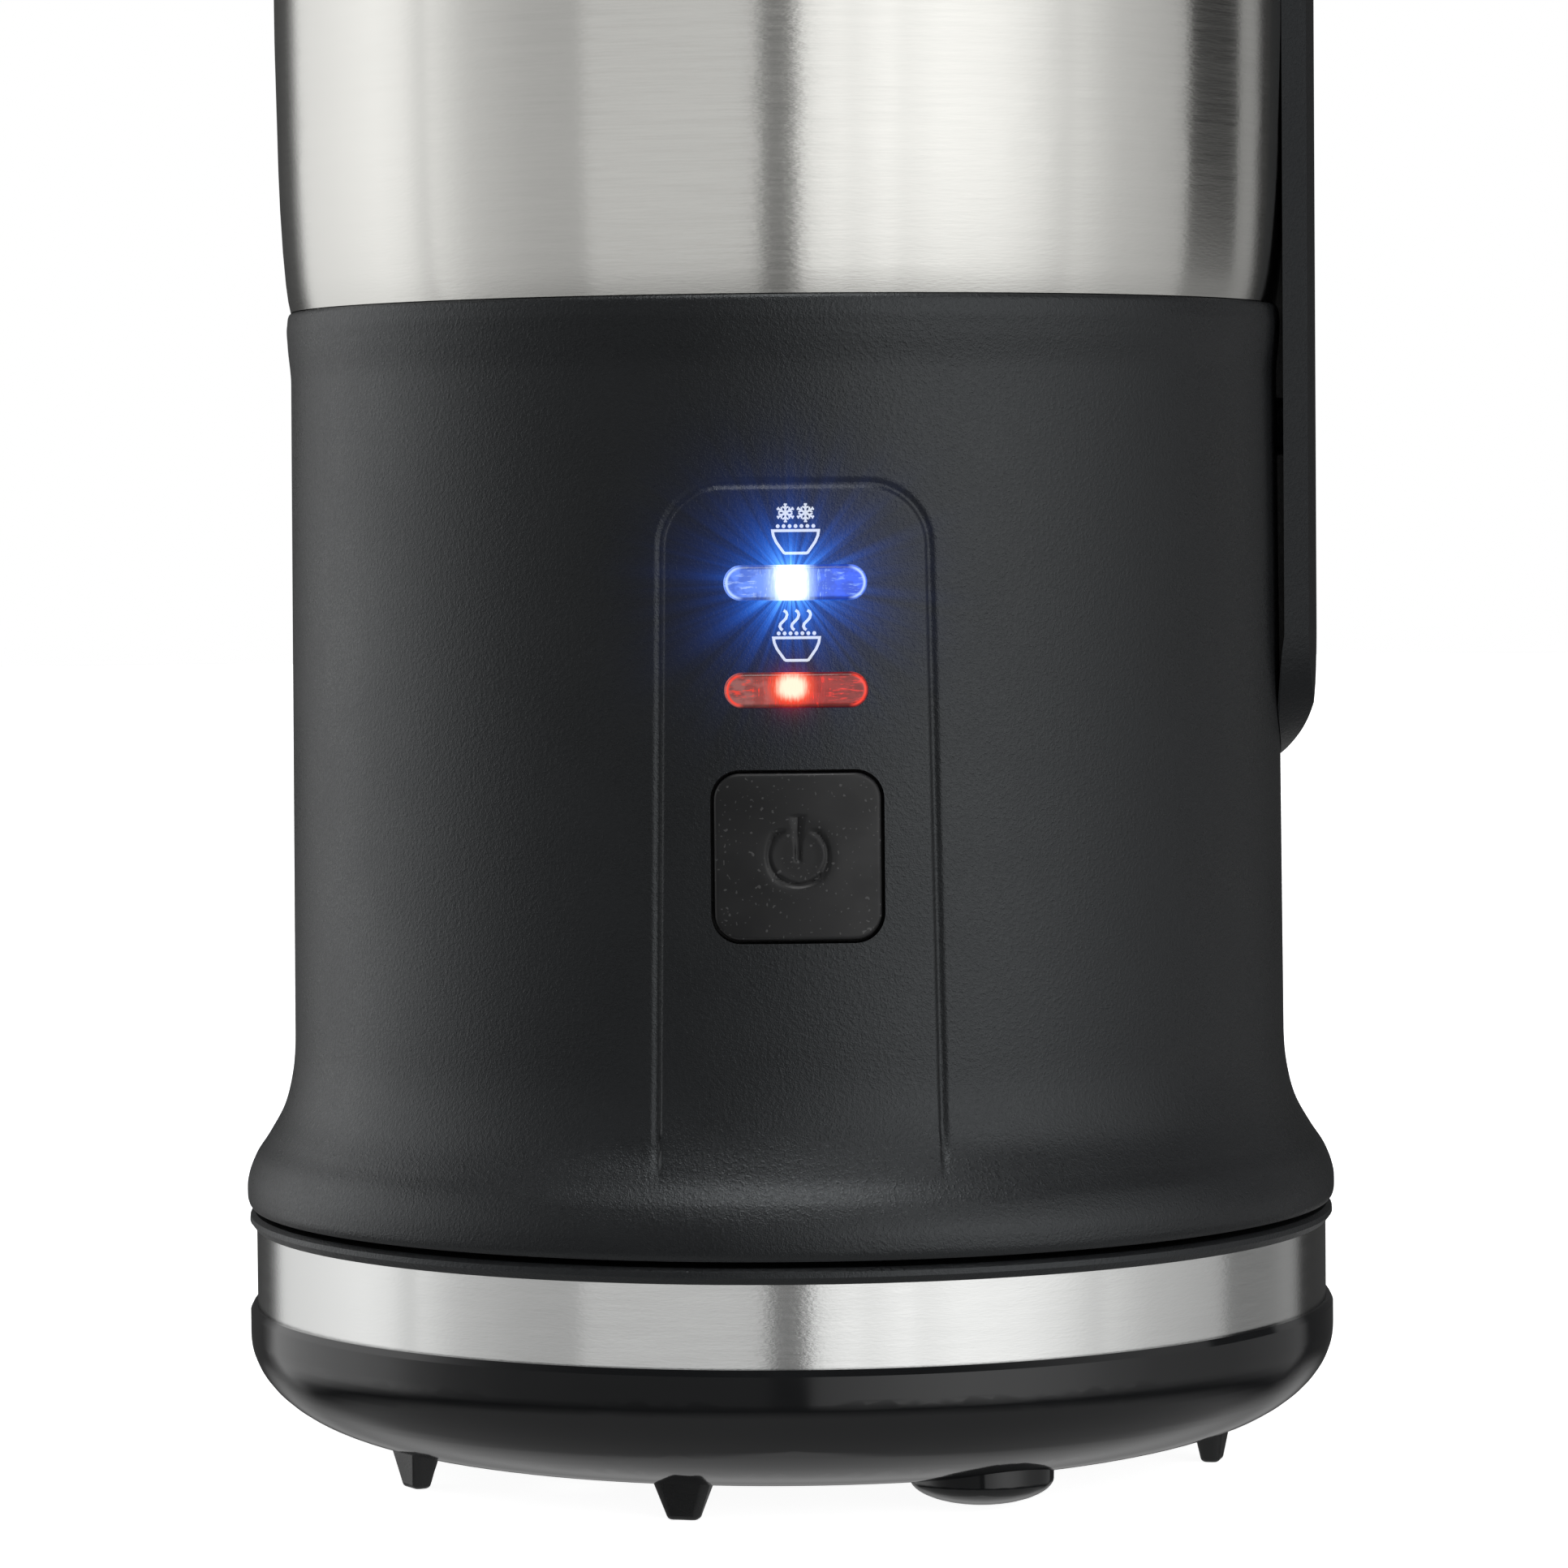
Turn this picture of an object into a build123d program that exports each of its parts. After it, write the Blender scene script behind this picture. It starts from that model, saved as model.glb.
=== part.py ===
from build123d import *
from math import cos, radians, sin
import os

# Milk frother: a steel jug with a heater and a magnetic drive, standing on a round power base.
# Millimetres. +Z is up, the origin is on the floor under the jug's axis, the control panel
# faces -Y, the grip spine is at +X and the pouring spout at -X.

os.makedirs("parts", exist_ok=True)

# ---- driving dimensions -----------------------------------------------------------------
# power base
TRAY_R = 53.1
TRAY_FLAT_R = 38.0
TRAY_BOTTOM_Z = 2.85
TRAY_BELLY_Z = 12.7
TRAY_RIM_Z = 15.45
TRAY_WALL = 2.0
LUG_R = 41.8
LUG_ANGLES = (-150, -105, -15, 30, 75, 120, 165)
DOME_ANGLE = -64.5
DOME_R = 39.0
DOME_LOW_Z = 0.35
DOME_HALF_WIDTH = 6.7
DOME_DEPTH = 2.4
DOME_TOP_Z = 5.0
BAND_R = 52.4
BAND_WALL = 0.5
BAND_TOP_Z = 23.6
BAND_LIP = 0.5
BASE_RING_R = 53.05
BASE_TOP_Z = 24.6
BASE_LAND_Z = 25.6
BASE_POST_R = 30.0
CORD_BORE_R = 3.2
CORD_BUSH_R = 4.2
CORD_Z = 9.6

# connector
TURRET_R = 13.5
TURRET_TOP_Z = 33.5
CONTACT_PIN_R = 2.2
RUNNING_GAP = 0.05

# jug
HOUSING_BOTTOM_Z = 25.2
HOUSING_TOP_Z = 111.8
FLARE_R = 53.25
FLARE_Z = 26.9
WAIST_R = 48.4
WAIST_Z = 43.7
HOUSING_WALL = 2.4
JACKET_FOOT_R = 47.95
JACKET_R = 49.2
JACKET_WALL = 0.6
JACKET_TOP_Z = 178.0
COLLAR_R = 49.8
COLLAR_TOP_Z = 190.0
POT_R = 38.0
POT_WALL = 0.8
POT_FLOOR_Z = 97.0
POT_RIM_Z = 184.0
PILLAR_R = 42.8
PILLAR_ANGLES = (45, 135, 225, 315)
MOTOR_PLATE_Z = 76.0

# control panel
PANEL_TOP_Z = 94.5
PANEL_LOW_Z = 30.0
PANEL_TOP_W = 23.5
PANEL_LOW_W = 25.5
PANEL_CORNER_R = 5.3
GROOVE_W = 0.55
GROOVE_DEPTH = 0.3
BUTTON_Z = 61.25
BUTTON_SIZE = 15.1
BUTTON_CORNER_R = 2.4
BUTTON_GAP = 0.35
LENS_W = 12.85
LENS_H = 3.1
LENS_Z = (85.9, 76.25)
BOARD_FRONT_Y = -40.6

# grip spine
GRIP_W = 24.8
GRIP_LOW_Z = 67.6
GRIP_R = 51.9
GRIP_CROWN_R = 36.0
GRIP_SCREW_Z = (100.0, 160.0)

# whisk and lid
HUB_R = 15.0
WHISK_RING_R = 19.5
LID_R = 44.9
KNOB_TOP_Z = 204.0


# ---- shared shapes ----------------------------------------------------------------------
def tube(outer, inner, bottom, top, mode=Mode.ADD):
    """A plain ring about the jug's axis, or a disc where inner is 0."""
    with BuildSketch(Plane.XY.offset(bottom)) as section:
        Circle(outer)
        if inner > 0:
            Circle(inner, mode=Mode.SUBTRACT)
    extrude(section.sketch, amount=top - bottom, mode=mode)


def turned(points, mode=Mode.ADD):
    """A body of revolution about the jug's axis, from (radius, height) points."""
    with BuildSketch(Plane.XZ) as section:
        with BuildLine():
            Polyline(*points, close=True)
        make_face()
    revolve(section.sketch, axis=Axis.Z, mode=mode)


def posts(places, radius, bottom, top, mode=Mode.ADD):
    """Upright round posts, or holes, at the given (x, y) places."""
    with BuildSketch(Plane.XY.offset(bottom)) as section:
        with Locations(*places):
            Circle(radius)
    extrude(section.sketch, amount=top - bottom, mode=mode)


def around(radius, angles):
    """Places on a circle about the jug's axis."""
    return [(radius * cos(radians(a)), radius * sin(radians(a))) for a in angles]


def screws(places, head_r, head_low, head_top, shank_r, shank_low, shank_top):
    """Upright pan-head screws, one separate solid at each place."""
    posts(places, head_r, head_low, head_top)
    posts(places, shank_r, shank_low, shank_top)


def block(low, high, mode=Mode.ADD):
    """A box between two opposite corners."""
    size = [b - a for a, b in zip(low, high)]
    middle = [(a + b) / 2 for a, b in zip(low, high)]
    with Locations(tuple(middle)):
        Box(*size, mode=mode)


def screws_y(places, head_r, head_y, shank_r, head_depth, shank_depth):
    """Screws along -Y, one separate solid at each (x, z) place, with heads on the inner side."""
    with BuildSketch(Plane.XZ.offset(-head_y)) as heads:
        with Locations(*places):
            Circle(head_r)
    extrude(heads.sketch, amount=head_depth)
    with BuildSketch(Plane.XZ.offset(head_depth - head_y)) as shanks:
        with Locations(*places):
            Circle(shank_r)
    extrude(shanks.sketch, amount=shank_depth)


# ---- power base -------------------------------------------------------------------------
BASE_SCREWS = around(BASE_POST_R, PILLAR_ANGLES)
BASE_POST_LOW_Z = 12.0
BASE_PLATE_LOW_Z = 22.6
SCREW_HEAD_R = 2.7
SCREW_SHANK_R = 1.25

with BuildPart() as base_feet:
    for angle in LUG_ANGLES:
        lug_x, lug_y = around(LUG_R, (angle,))[0]
        lug_dir = (-sin(radians(angle)), cos(radians(angle)), 0)
        with BuildSketch(Plane((lug_x, lug_y, 0), x_dir=lug_dir, z_dir=(0, 0, 1))):
            RectangleRounded(2.9, 1.8, 0.7)
        with BuildSketch(Plane((lug_x, lug_y, 3.7), x_dir=lug_dir, z_dir=(0, 0, 1))) as lug_root:
            RectangleRounded(5.6, 3.0, 0.8)
        loft()
        extrude(lug_root.sketch, amount=1.2)
    tips = base_feet.faces().filter_by(lambda f: abs(f.center().Z) < 0.01)
    fillet(tips.edges(), radius=0.5)
base_feet.part.label = "base_feet"
export_step(base_feet.part, "parts/base_feet.step")

# the eighth place of the foot ring holds a flattened round foot moulded with the tray
with BuildPart() as dome:
    dome_x, dome_y = around(DOME_R, (DOME_ANGLE,))[0]
    with BuildSketch(Plane((dome_x, dome_y, 0), x_dir=(1, 0, 0), z_dir=(0, -1, 0))):
        with BuildLine():
            dome_side = EllipticalCenterArc(
                (0, DOME_LOW_Z + DOME_DEPTH), DOME_HALF_WIDTH, DOME_DEPTH, start_angle=270, arc_size=90
            )
            Polyline(
                dome_side @ 1,
                (DOME_HALF_WIDTH, DOME_TOP_Z),
                (0, DOME_TOP_Z),
                (0, DOME_LOW_Z),
            )
        make_face()
    revolve(axis=Axis((dome_x, dome_y, 0), (0, 0, 1)))

with BuildPart() as base_tray:
    with BuildSketch(Plane.XZ):
        with BuildLine():
            Line((0, TRAY_BOTTOM_Z), (TRAY_FLAT_R, TRAY_BOTTOM_Z))
            belly = EllipticalCenterArc(
                (TRAY_FLAT_R, TRAY_BELLY_Z),
                TRAY_R - TRAY_FLAT_R,
                TRAY_BELLY_Z - TRAY_BOTTOM_Z,
                start_angle=270,
                arc_size=90,
            )
            Polyline(
                belly @ 1,
                (TRAY_R, TRAY_RIM_Z - 0.6),
                (TRAY_R - 0.3, TRAY_RIM_Z),
                (BAND_R + 0.02, TRAY_RIM_Z),
                (BAND_R + 0.02, TRAY_RIM_Z - 1.5),
                (TRAY_R - TRAY_WALL, TRAY_RIM_Z - 1.5),
                (TRAY_R - TRAY_WALL, TRAY_BELLY_Z),
            )
            EllipticalCenterArc(
                (TRAY_FLAT_R, TRAY_BELLY_Z),
                TRAY_R - TRAY_FLAT_R - TRAY_WALL,
                TRAY_BELLY_Z - TRAY_BOTTOM_Z - TRAY_WALL,
                start_angle=270,
                arc_size=90,
            )
            Polyline(
                (TRAY_FLAT_R, TRAY_BOTTOM_Z + TRAY_WALL),
                (0, TRAY_BOTTOM_Z + TRAY_WALL),
                (0, TRAY_BOTTOM_Z),
            )
        make_face()
    revolve(axis=Axis.Z)
    posts(BASE_SCREWS, 4.2, TRAY_BOTTOM_Z + 1, BASE_POST_LOW_Z)
    tube(19.0, 17.0, TRAY_BOTTOM_Z + 1, 20.6)
    add(dome.part)
    posts(BASE_SCREWS, SCREW_HEAD_R + 0.2, 0, TRAY_BOTTOM_Z + 3, mode=Mode.SUBTRACT)
    posts(BASE_SCREWS, SCREW_SHANK_R + 0.2, 0, BASE_POST_LOW_Z, mode=Mode.SUBTRACT)
    with BuildSketch(Plane.XZ.offset(-58)):
        with Locations((0, CORD_Z)):
            Circle(CORD_BUSH_R)
    extrude(amount=14, mode=Mode.SUBTRACT)
    add(base_feet.part, mode=Mode.SUBTRACT)
base_tray.part.label = "base_tray"
export_step(base_tray.part, "parts/base_tray.step")

with BuildPart() as base_band:
    tube(BAND_R, BAND_R - BAND_WALL, TRAY_RIM_Z - 1.5, BAND_TOP_Z)
base_band.part.label = "base_band"
export_step(base_band.part, "parts/base_band.step")

with BuildPart() as base_top:
    turned([
        (16.1, BASE_PLATE_LOW_Z),
        (49.4, BASE_PLATE_LOW_Z),
        (49.4, TRAY_RIM_Z - 1.5),
        (BAND_R - BAND_WALL - 0.02, TRAY_RIM_Z - 1.5),
        (BAND_R - BAND_WALL - 0.02, BAND_TOP_Z),
        (BAND_R + 0.02, BAND_TOP_Z),
        (BAND_R + 0.02, BAND_TOP_Z - BAND_LIP),
        (BAND_R + 0.15, BAND_TOP_Z - BAND_LIP),
        (BASE_RING_R, BAND_TOP_Z + 0.15),
        (BASE_RING_R - 0.05, BASE_TOP_Z - 0.35),
        (BASE_RING_R - 0.5, BASE_TOP_Z),
        (40.0, BASE_TOP_Z),
        (40.0, BASE_LAND_Z),
        (35.0, BASE_LAND_Z),
        (35.0, BASE_TOP_Z),
        (16.1, BASE_TOP_Z),
    ])
    posts(BASE_SCREWS, 4.2, BASE_POST_LOW_Z, BASE_PLATE_LOW_Z)
    posts(BASE_SCREWS, SCREW_SHANK_R, BASE_POST_LOW_Z, BASE_PLATE_LOW_Z, mode=Mode.SUBTRACT)
base_top.part.label = "base_top"
export_step(base_top.part, "parts/base_top.step")

with BuildPart() as base_screws:
    head_seat_z = TRAY_BOTTOM_Z + 3
    screws(BASE_SCREWS, SCREW_HEAD_R, head_seat_z - 1.8, head_seat_z, SCREW_SHANK_R, head_seat_z, 20.0)
base_screws.part.label = "base_screws"
export_step(base_screws.part, "parts/base_screws.step")

with BuildPart() as cord_inlet:
    with BuildSketch(Plane.XZ.offset(-52.6)):
        with Locations((0, CORD_Z)):
            Circle(CORD_BUSH_R)
    extrude(amount=8.6)
    with BuildSketch(Plane.XZ.offset(-53)):
        with Locations((0, CORD_Z)):
            Circle(CORD_BORE_R)
    extrude(amount=12, mode=Mode.SUBTRACT)
cord_inlet.part.label = "cord_inlet"
export_step(cord_inlet.part, "parts/cord_inlet.step")

CONTACT_TAIL = ((-1.0, 8.9, 10.0), (1.0, 9.5, 26.5))

with BuildPart() as base_connector:
    tube(20.0, 0, 20.6, BASE_PLATE_LOW_Z)
    tube(16.0, 0, 12.0, BASE_TOP_Z)
    tube(TURRET_R, 0, BASE_TOP_Z, TURRET_TOP_Z)
    chamfer(base_connector.faces().sort_by(Axis.Z)[-1].edges(), length=0.8)
    tube(9.5, 6.6, 26.0, TURRET_TOP_Z, mode=Mode.SUBTRACT)
    tube(CONTACT_PIN_R + RUNNING_GAP, 0, 14.0, TURRET_TOP_Z, mode=Mode.SUBTRACT)
    block(*CONTACT_TAIL, mode=Mode.SUBTRACT)
base_connector.part.label = "base_connector"
export_step(base_connector.part, "parts/base_connector.step")

with BuildPart() as base_contact_ring:
    tube(9.5, 8.9, 26.0, 32.8)
    block(*CONTACT_TAIL)
base_contact_ring.part.label = "base_contact_ring"
export_step(base_contact_ring.part, "parts/base_contact_ring.step")

with BuildPart() as contact_spring:
    with BuildLine():
        spring_path = Helix(pitch=1.1, height=6.0, radius=1.6, center=(0, 0, 14.3))
    with BuildSketch(Plane(origin=spring_path @ 0, z_dir=spring_path % 0)):
        Circle(0.22)
    sweep(is_frenet=True)
contact_spring.part.label = "contact_spring"
export_step(contact_spring.part, "parts/contact_spring.step")

with BuildPart() as centre_contact:
    turned([
        (0, 20.8),
        (CONTACT_PIN_R, 20.8),
        (CONTACT_PIN_R, 34.8),
        (1.0, 36.4),
        (0, 36.4),
    ])
centre_contact.part.label = "centre_contact"
export_step(centre_contact.part, "parts/centre_contact.step")

# ---- jug: bottom cover and connector ----------------------------------------------------
COVER_LOW_Z = BASE_LAND_Z
COVER_TOP_Z = 27.8
PILLARS = around(PILLAR_R, PILLAR_ANGLES)
BOARD_POSTS = [(-25, -20), (25, -20), (-25, 22), (25, 22)]
POWER_BOARD_Z = 47.0
BLADE_TOP_Z = 37.6
BLADE_TAILS = [(0, -8.0), (0, 8.0)]

with BuildPart() as jug_bottom:
    turned([
        (14.6, COVER_LOW_Z),
        (50.2, COVER_LOW_Z),
        (50.2, COVER_TOP_Z),
        (14.6, COVER_TOP_Z),
    ])
    posts(BOARD_POSTS, 3.0, COVER_TOP_Z, POWER_BOARD_Z)
    posts(BOARD_POSTS, SCREW_SHANK_R, POWER_BOARD_Z - 8, POWER_BOARD_Z, mode=Mode.SUBTRACT)
    posts(PILLARS, SCREW_HEAD_R + 0.2, COVER_LOW_Z, COVER_LOW_Z + 1.2, mode=Mode.SUBTRACT)
    posts(PILLARS, SCREW_SHANK_R + 0.2, COVER_LOW_Z, COVER_TOP_Z, mode=Mode.SUBTRACT)
jug_bottom.part.label = "jug_bottom"
export_step(jug_bottom.part, "parts/jug_bottom.step")

with BuildPart() as bottom_screws:
    seat_z = COVER_LOW_Z + 1.2
    screws(PILLARS, SCREW_HEAD_R, seat_z - 1.1, seat_z, SCREW_SHANK_R, seat_z, 40.0)
bottom_screws.part.label = "bottom_screws"
export_step(bottom_screws.part, "parts/bottom_screws.step")

with BuildPart() as jug_connector:
    tube(18.0, TURRET_R + 0.6, COVER_TOP_Z, 34.3)
    tube(18.0, 0, 34.3, 40.0)
    tube(8.3, 7.7, 34.3, BLADE_TOP_Z, mode=Mode.SUBTRACT)
    posts(BLADE_TAILS, 0.45, BLADE_TOP_Z, 40.0, mode=Mode.SUBTRACT)
    tube(3.6, 0, 34.3, 40.0, mode=Mode.SUBTRACT)
jug_connector.part.label = "jug_connector"
export_step(jug_connector.part, "parts/jug_connector.step")

with BuildPart() as jug_contacts:
    tube(8.3, 7.7, 27.4, BLADE_TOP_Z)
    posts(BLADE_TAILS, 0.45, BLADE_TOP_Z, 43.5)
    tube(3.6, 2.7, 34.3, 43.5)
jug_contacts.part.label = "jug_contacts"
export_step(jug_contacts.part, "parts/jug_contacts.step")

# ---- jug: plastic housing with the control panel ----------------------------------------
def panel_outline(grow, low_z):
    """The control panel's outline on the front, made larger all round by grow."""
    with BuildSketch(Plane.XZ.offset(40)) as outline:
        with BuildLine():
            Polyline(
                (-PANEL_LOW_W / 2 - grow, low_z),
                (PANEL_LOW_W / 2 + grow, low_z),
                (PANEL_TOP_W / 2 + grow, PANEL_TOP_Z + grow),
                (-PANEL_TOP_W / 2 - grow, PANEL_TOP_Z + grow),
                close=True,
            )
        make_face()
        fillet(outline.vertices().group_by(Axis.Z)[-1], radius=PANEL_CORNER_R + grow)
    return outline.sketch


with BuildPart() as panel_face:
    turned([
        (51.5, 31.3),
        (50.15, 33.9),
        (48.95, 37.6),
        (48.5, WAIST_Z + 1),
        (48.16, PANEL_TOP_Z + 1),
        (46.8, PANEL_TOP_Z + 1),
        (46.8, 37.0),
        (49.0, 32.0),
    ])
    extrude(panel_outline(0, PANEL_LOW_Z), amount=14, mode=Mode.INTERSECT)

with BuildPart() as panel_groove:
    extrude(panel_outline(GROOVE_W, PANEL_LOW_Z), amount=14)
    extrude(panel_outline(0, PANEL_LOW_Z - 1), amount=14, mode=Mode.SUBTRACT)
    turned(
        [
            (0, PANEL_LOW_Z - 2),
            (53.0, PANEL_LOW_Z - 2),
            (51.3, 31.6),
            (49.5, 34.6),
            (48.5, 38.2),
            (WAIST_R - GROOVE_DEPTH, WAIST_Z),
            (48.06 - GROOVE_DEPTH, PANEL_TOP_Z + 2),
            (0, PANEL_TOP_Z + 2),
        ],
        mode=Mode.SUBTRACT,
    )

with BuildPart() as jug_housing:
    with BuildSketch(Plane.XZ):
        with BuildLine():
            Polyline(
                (50.4, COVER_TOP_Z),
                (50.4, HOUSING_BOTTOM_Z),
                (FLARE_R - 0.35, HOUSING_BOTTOM_Z),
            )
            hem = Spline((FLARE_R - 0.35, HOUSING_BOTTOM_Z), (FLARE_R, FLARE_Z), tangents=((1, 1), (0, 1)))
            flare = Spline(
                hem @ 1,
                (52.45, 29.8),
                (51.1, 31.9),
                (49.5, 34.85),
                (48.72, 37.9),
                (WAIST_R, WAIST_Z),
                tangents=((0, 1), (-0.006, 1)),
            )
            wall = Line(flare @ 1, (48.0, 105.0))
            lip = Spline(
                wall @ 1,
                (48.3, 108.8),
                (48.33, 110.6),
                (JACKET_FOOT_R + 0.02, HOUSING_TOP_Z),
                tangents=((-0.006, 1), (-1, 0.6)),
            )
            Polyline(
                lip @ 1,
                (47.2, HOUSING_TOP_Z),
                (47.2, 118.0),
                (48.0 - HOUSING_WALL, 118.0),
                (48.0 - HOUSING_WALL, 105.0),
                (WAIST_R - HOUSING_WALL, WAIST_Z),
                (46.6, 36.0),
                (48.0, 31.2),
                (49.0, COVER_TOP_Z),
                (50.4, COVER_TOP_Z),
            )
        make_face()
    revolve(axis=Axis.Z)
    posts(PILLARS, 3.4, COVER_TOP_Z, MOTOR_PLATE_Z)
    add(panel_face.part)
    add(panel_groove.part, mode=Mode.SUBTRACT)
    with BuildSketch(Plane.XZ.offset(-BOARD_FRONT_Y)):
        with Locations((-12.5, 49.5), (12.5, 49.5), (-12.5, 91.5), (12.5, 91.5)):
            Circle(2.2)
    extrude(amount=4.2)
    with BuildSketch(Plane.XZ.offset(-BOARD_FRONT_Y)):
        with Locations((-12.5, 49.5), (12.5, 49.5), (-12.5, 91.5), (12.5, 91.5)):
            Circle(0.9)
    extrude(amount=3.4, mode=Mode.SUBTRACT)
    with BuildSketch(Plane.XZ.offset(42)):
        with Locations((0, BUTTON_Z)):
            RectangleRounded(
                BUTTON_SIZE + 2 * BUTTON_GAP,
                BUTTON_SIZE + 2 * BUTTON_GAP,
                BUTTON_CORNER_R + BUTTON_GAP,
            )
        for lens_z in LENS_Z:
            with Locations((0, lens_z)):
                SlotOverall(LENS_W + 0.1, LENS_H + 0.1)
    extrude(amount=10, mode=Mode.SUBTRACT)
    with BuildSketch(Plane.YZ.offset(40)):
        with Locations((0, GRIP_SCREW_Z[0])):
            Circle(3.0)
    extrude(amount=12, mode=Mode.SUBTRACT)
    posts(PILLARS, SCREW_SHANK_R, COVER_TOP_Z, 40, mode=Mode.SUBTRACT)
    posts(PILLARS, SCREW_SHANK_R, 66, MOTOR_PLATE_Z, mode=Mode.SUBTRACT)
jug_housing.part.label = "jug_housing"
export_step(jug_housing.part, "parts/jug_housing.step")

# ---- jug: steel jacket, collar and pot --------------------------------------------------
with BuildPart() as jug_jacket:
    with BuildSketch(Plane.XZ):
        with BuildLine():
            outer_foot = Spline(
                (JACKET_FOOT_R, HOUSING_TOP_Z + 0.1),
                (48.46, 115.5),
                (48.88, 122.5),
                (49.07, 131.0),
                (JACKET_R, 142.0),
                tangents=((0.25, 1), (0, 1)),
            )
            Line(outer_foot @ 1, (JACKET_R, JACKET_TOP_Z))
            Line((JACKET_R, JACKET_TOP_Z), (JACKET_R - JACKET_WALL, JACKET_TOP_Z))
            Line((JACKET_R - JACKET_WALL, JACKET_TOP_Z), (JACKET_R - JACKET_WALL, 142.0))
            inner_foot = Spline(
                (JACKET_R - JACKET_WALL, 142.0),
                (49.07 - JACKET_WALL, 131.0),
                (48.88 - JACKET_WALL, 122.5),
                (48.46 - JACKET_WALL, 115.5),
                (JACKET_FOOT_R - JACKET_WALL, HOUSING_TOP_Z + 0.1),
                tangents=((0, -1), (-0.25, -1)),
            )
            Line(inner_foot @ 1, outer_foot @ 0)
        make_face()
    revolve(axis=Axis.Z)
    with BuildSketch(Plane.YZ.offset(40)):
        with Locations((0, GRIP_SCREW_Z[1])):
            Circle(3.0)
    extrude(amount=12, mode=Mode.SUBTRACT)
jug_jacket.part.label = "jug_jacket"
export_step(jug_jacket.part, "parts/jug_jacket.step")

COLLAR_STEP_Z = 182.2
SPOUT_TIP_X = -53.2

with BuildPart() as grip_cap:
    with BuildSketch(Plane.YZ.offset(46.5)):
        with Locations((0, 182.0)):
            RectangleRounded(GRIP_W, 8.0, 1.6)
    extrude(amount=6)
    with BuildSketch(Plane.XY.offset(JACKET_TOP_Z)):
        with Locations((GRIP_R - GRIP_CROWN_R, 0)):
            Circle(GRIP_CROWN_R)
    extrude(amount=8, mode=Mode.INTERSECT)
    fillet(grip_cap.faces().sort_by(Axis.X)[-1].edges(), radius=0.5)

with BuildPart() as jug_collar:
    turned([
        (POT_R + POT_WALL + 0.4, 176.0),
        (46.4, 176.0),
        (46.4, 170.0),
        (JACKET_R - JACKET_WALL, 170.0),
        (JACKET_R - JACKET_WALL, JACKET_TOP_Z),
        (COLLAR_R, JACKET_TOP_Z),
        (COLLAR_R + 0.1, COLLAR_TOP_Z - 1.2),
        (COLLAR_R - 0.9, COLLAR_TOP_Z),
        (46.4, COLLAR_TOP_Z),
        (45.5, COLLAR_TOP_Z - 1.0),
        (45.3, COLLAR_STEP_Z),
        (POT_R + POT_WALL + 0.4, COLLAR_STEP_Z),
    ])
    for height, tip, half in ((179.5, -49.3, 3.0), (COLLAR_TOP_Z, SPOUT_TIP_X, 9.5)):
        with BuildSketch(Plane.XY.offset(height)):
            with BuildLine():
                Polyline((-46.2, -half), (tip + 0.8, -0.9), (tip + 0.8, 0.9), (-46.2, half), close=True)
            make_face()
    loft()
    for height, tip, half in ((184.4, -47.4, 3.0), (COLLAR_TOP_Z + 0.01, SPOUT_TIP_X + 2.2, 7.4)):
        with BuildSketch(Plane.XY.offset(height)):
            with BuildLine():
                Polyline((-44.5, -half - 1), (tip, -0.6), (tip, 0.6), (-44.5, half + 1), close=True)
            make_face()
    loft(mode=Mode.SUBTRACT)
    add(grip_cap.part)
jug_collar.part.label = "jug_collar"
export_step(jug_collar.part, "parts/jug_collar.step")

with BuildPart() as pot:
    with BuildSketch(Plane.XZ):
        with BuildLine():
            corner = POT_R - 8.0
            Polyline((2.0, POT_FLOOR_Z), (2.0, POT_FLOOR_Z - POT_WALL), (corner, POT_FLOOR_Z - POT_WALL))
            CenterArc((corner, POT_FLOOR_Z + 8.0), 8.0 + POT_WALL, 270, 90)
            Polyline(
                (POT_R + POT_WALL, POT_FLOOR_Z + 8.0),
                (POT_R + POT_WALL, POT_RIM_Z - POT_WALL),
                (44.8, POT_RIM_Z - POT_WALL),
                (44.8, POT_RIM_Z),
                (POT_R, POT_RIM_Z),
                (POT_R, POT_FLOOR_Z + 8.0),
            )
            CenterArc((corner, POT_FLOOR_Z + 8.0), 8.0, 0, -90)
            Line((corner, POT_FLOOR_Z), (2.0, POT_FLOOR_Z))
        make_face()
    revolve(axis=Axis.Z)
pot.part.label = "pot"
export_step(pot.part, "parts/pot.step")

with BuildPart() as pot_pivot:
    turned([
        (0, 95.4),
        (3.2, 95.4),
        (3.2, POT_FLOOR_Z - POT_WALL),
        (2.0, POT_FLOOR_Z - POT_WALL),
        (2.0, POT_FLOOR_Z),
        (4.0, POT_FLOOR_Z),
        (4.0, POT_FLOOR_Z + 0.8),
        (1.5, POT_FLOOR_Z + 0.8),
        (1.5, 108.3),
        (0.6, 109.2),
        (0, 109.2),
    ])
pot_pivot.part.label = "pot_pivot"
export_step(pot_pivot.part, "parts/pot_pivot.step")

with BuildPart() as pot_seal:
    tube(44.5, 40.5, COLLAR_STEP_Z, POT_RIM_Z - POT_WALL)
pot_seal.part.label = "pot_seal"
export_step(pot_seal.part, "parts/pot_seal.step")

# ---- jug: grip spine --------------------------------------------------------------------
GRIP_FLANK_X = 47.4
GRIP_BACK_R = JACKET_R + 0.02
GRIP_ROOT_R = 48.3
GRIP_BOSS_X = 45.0


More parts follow.
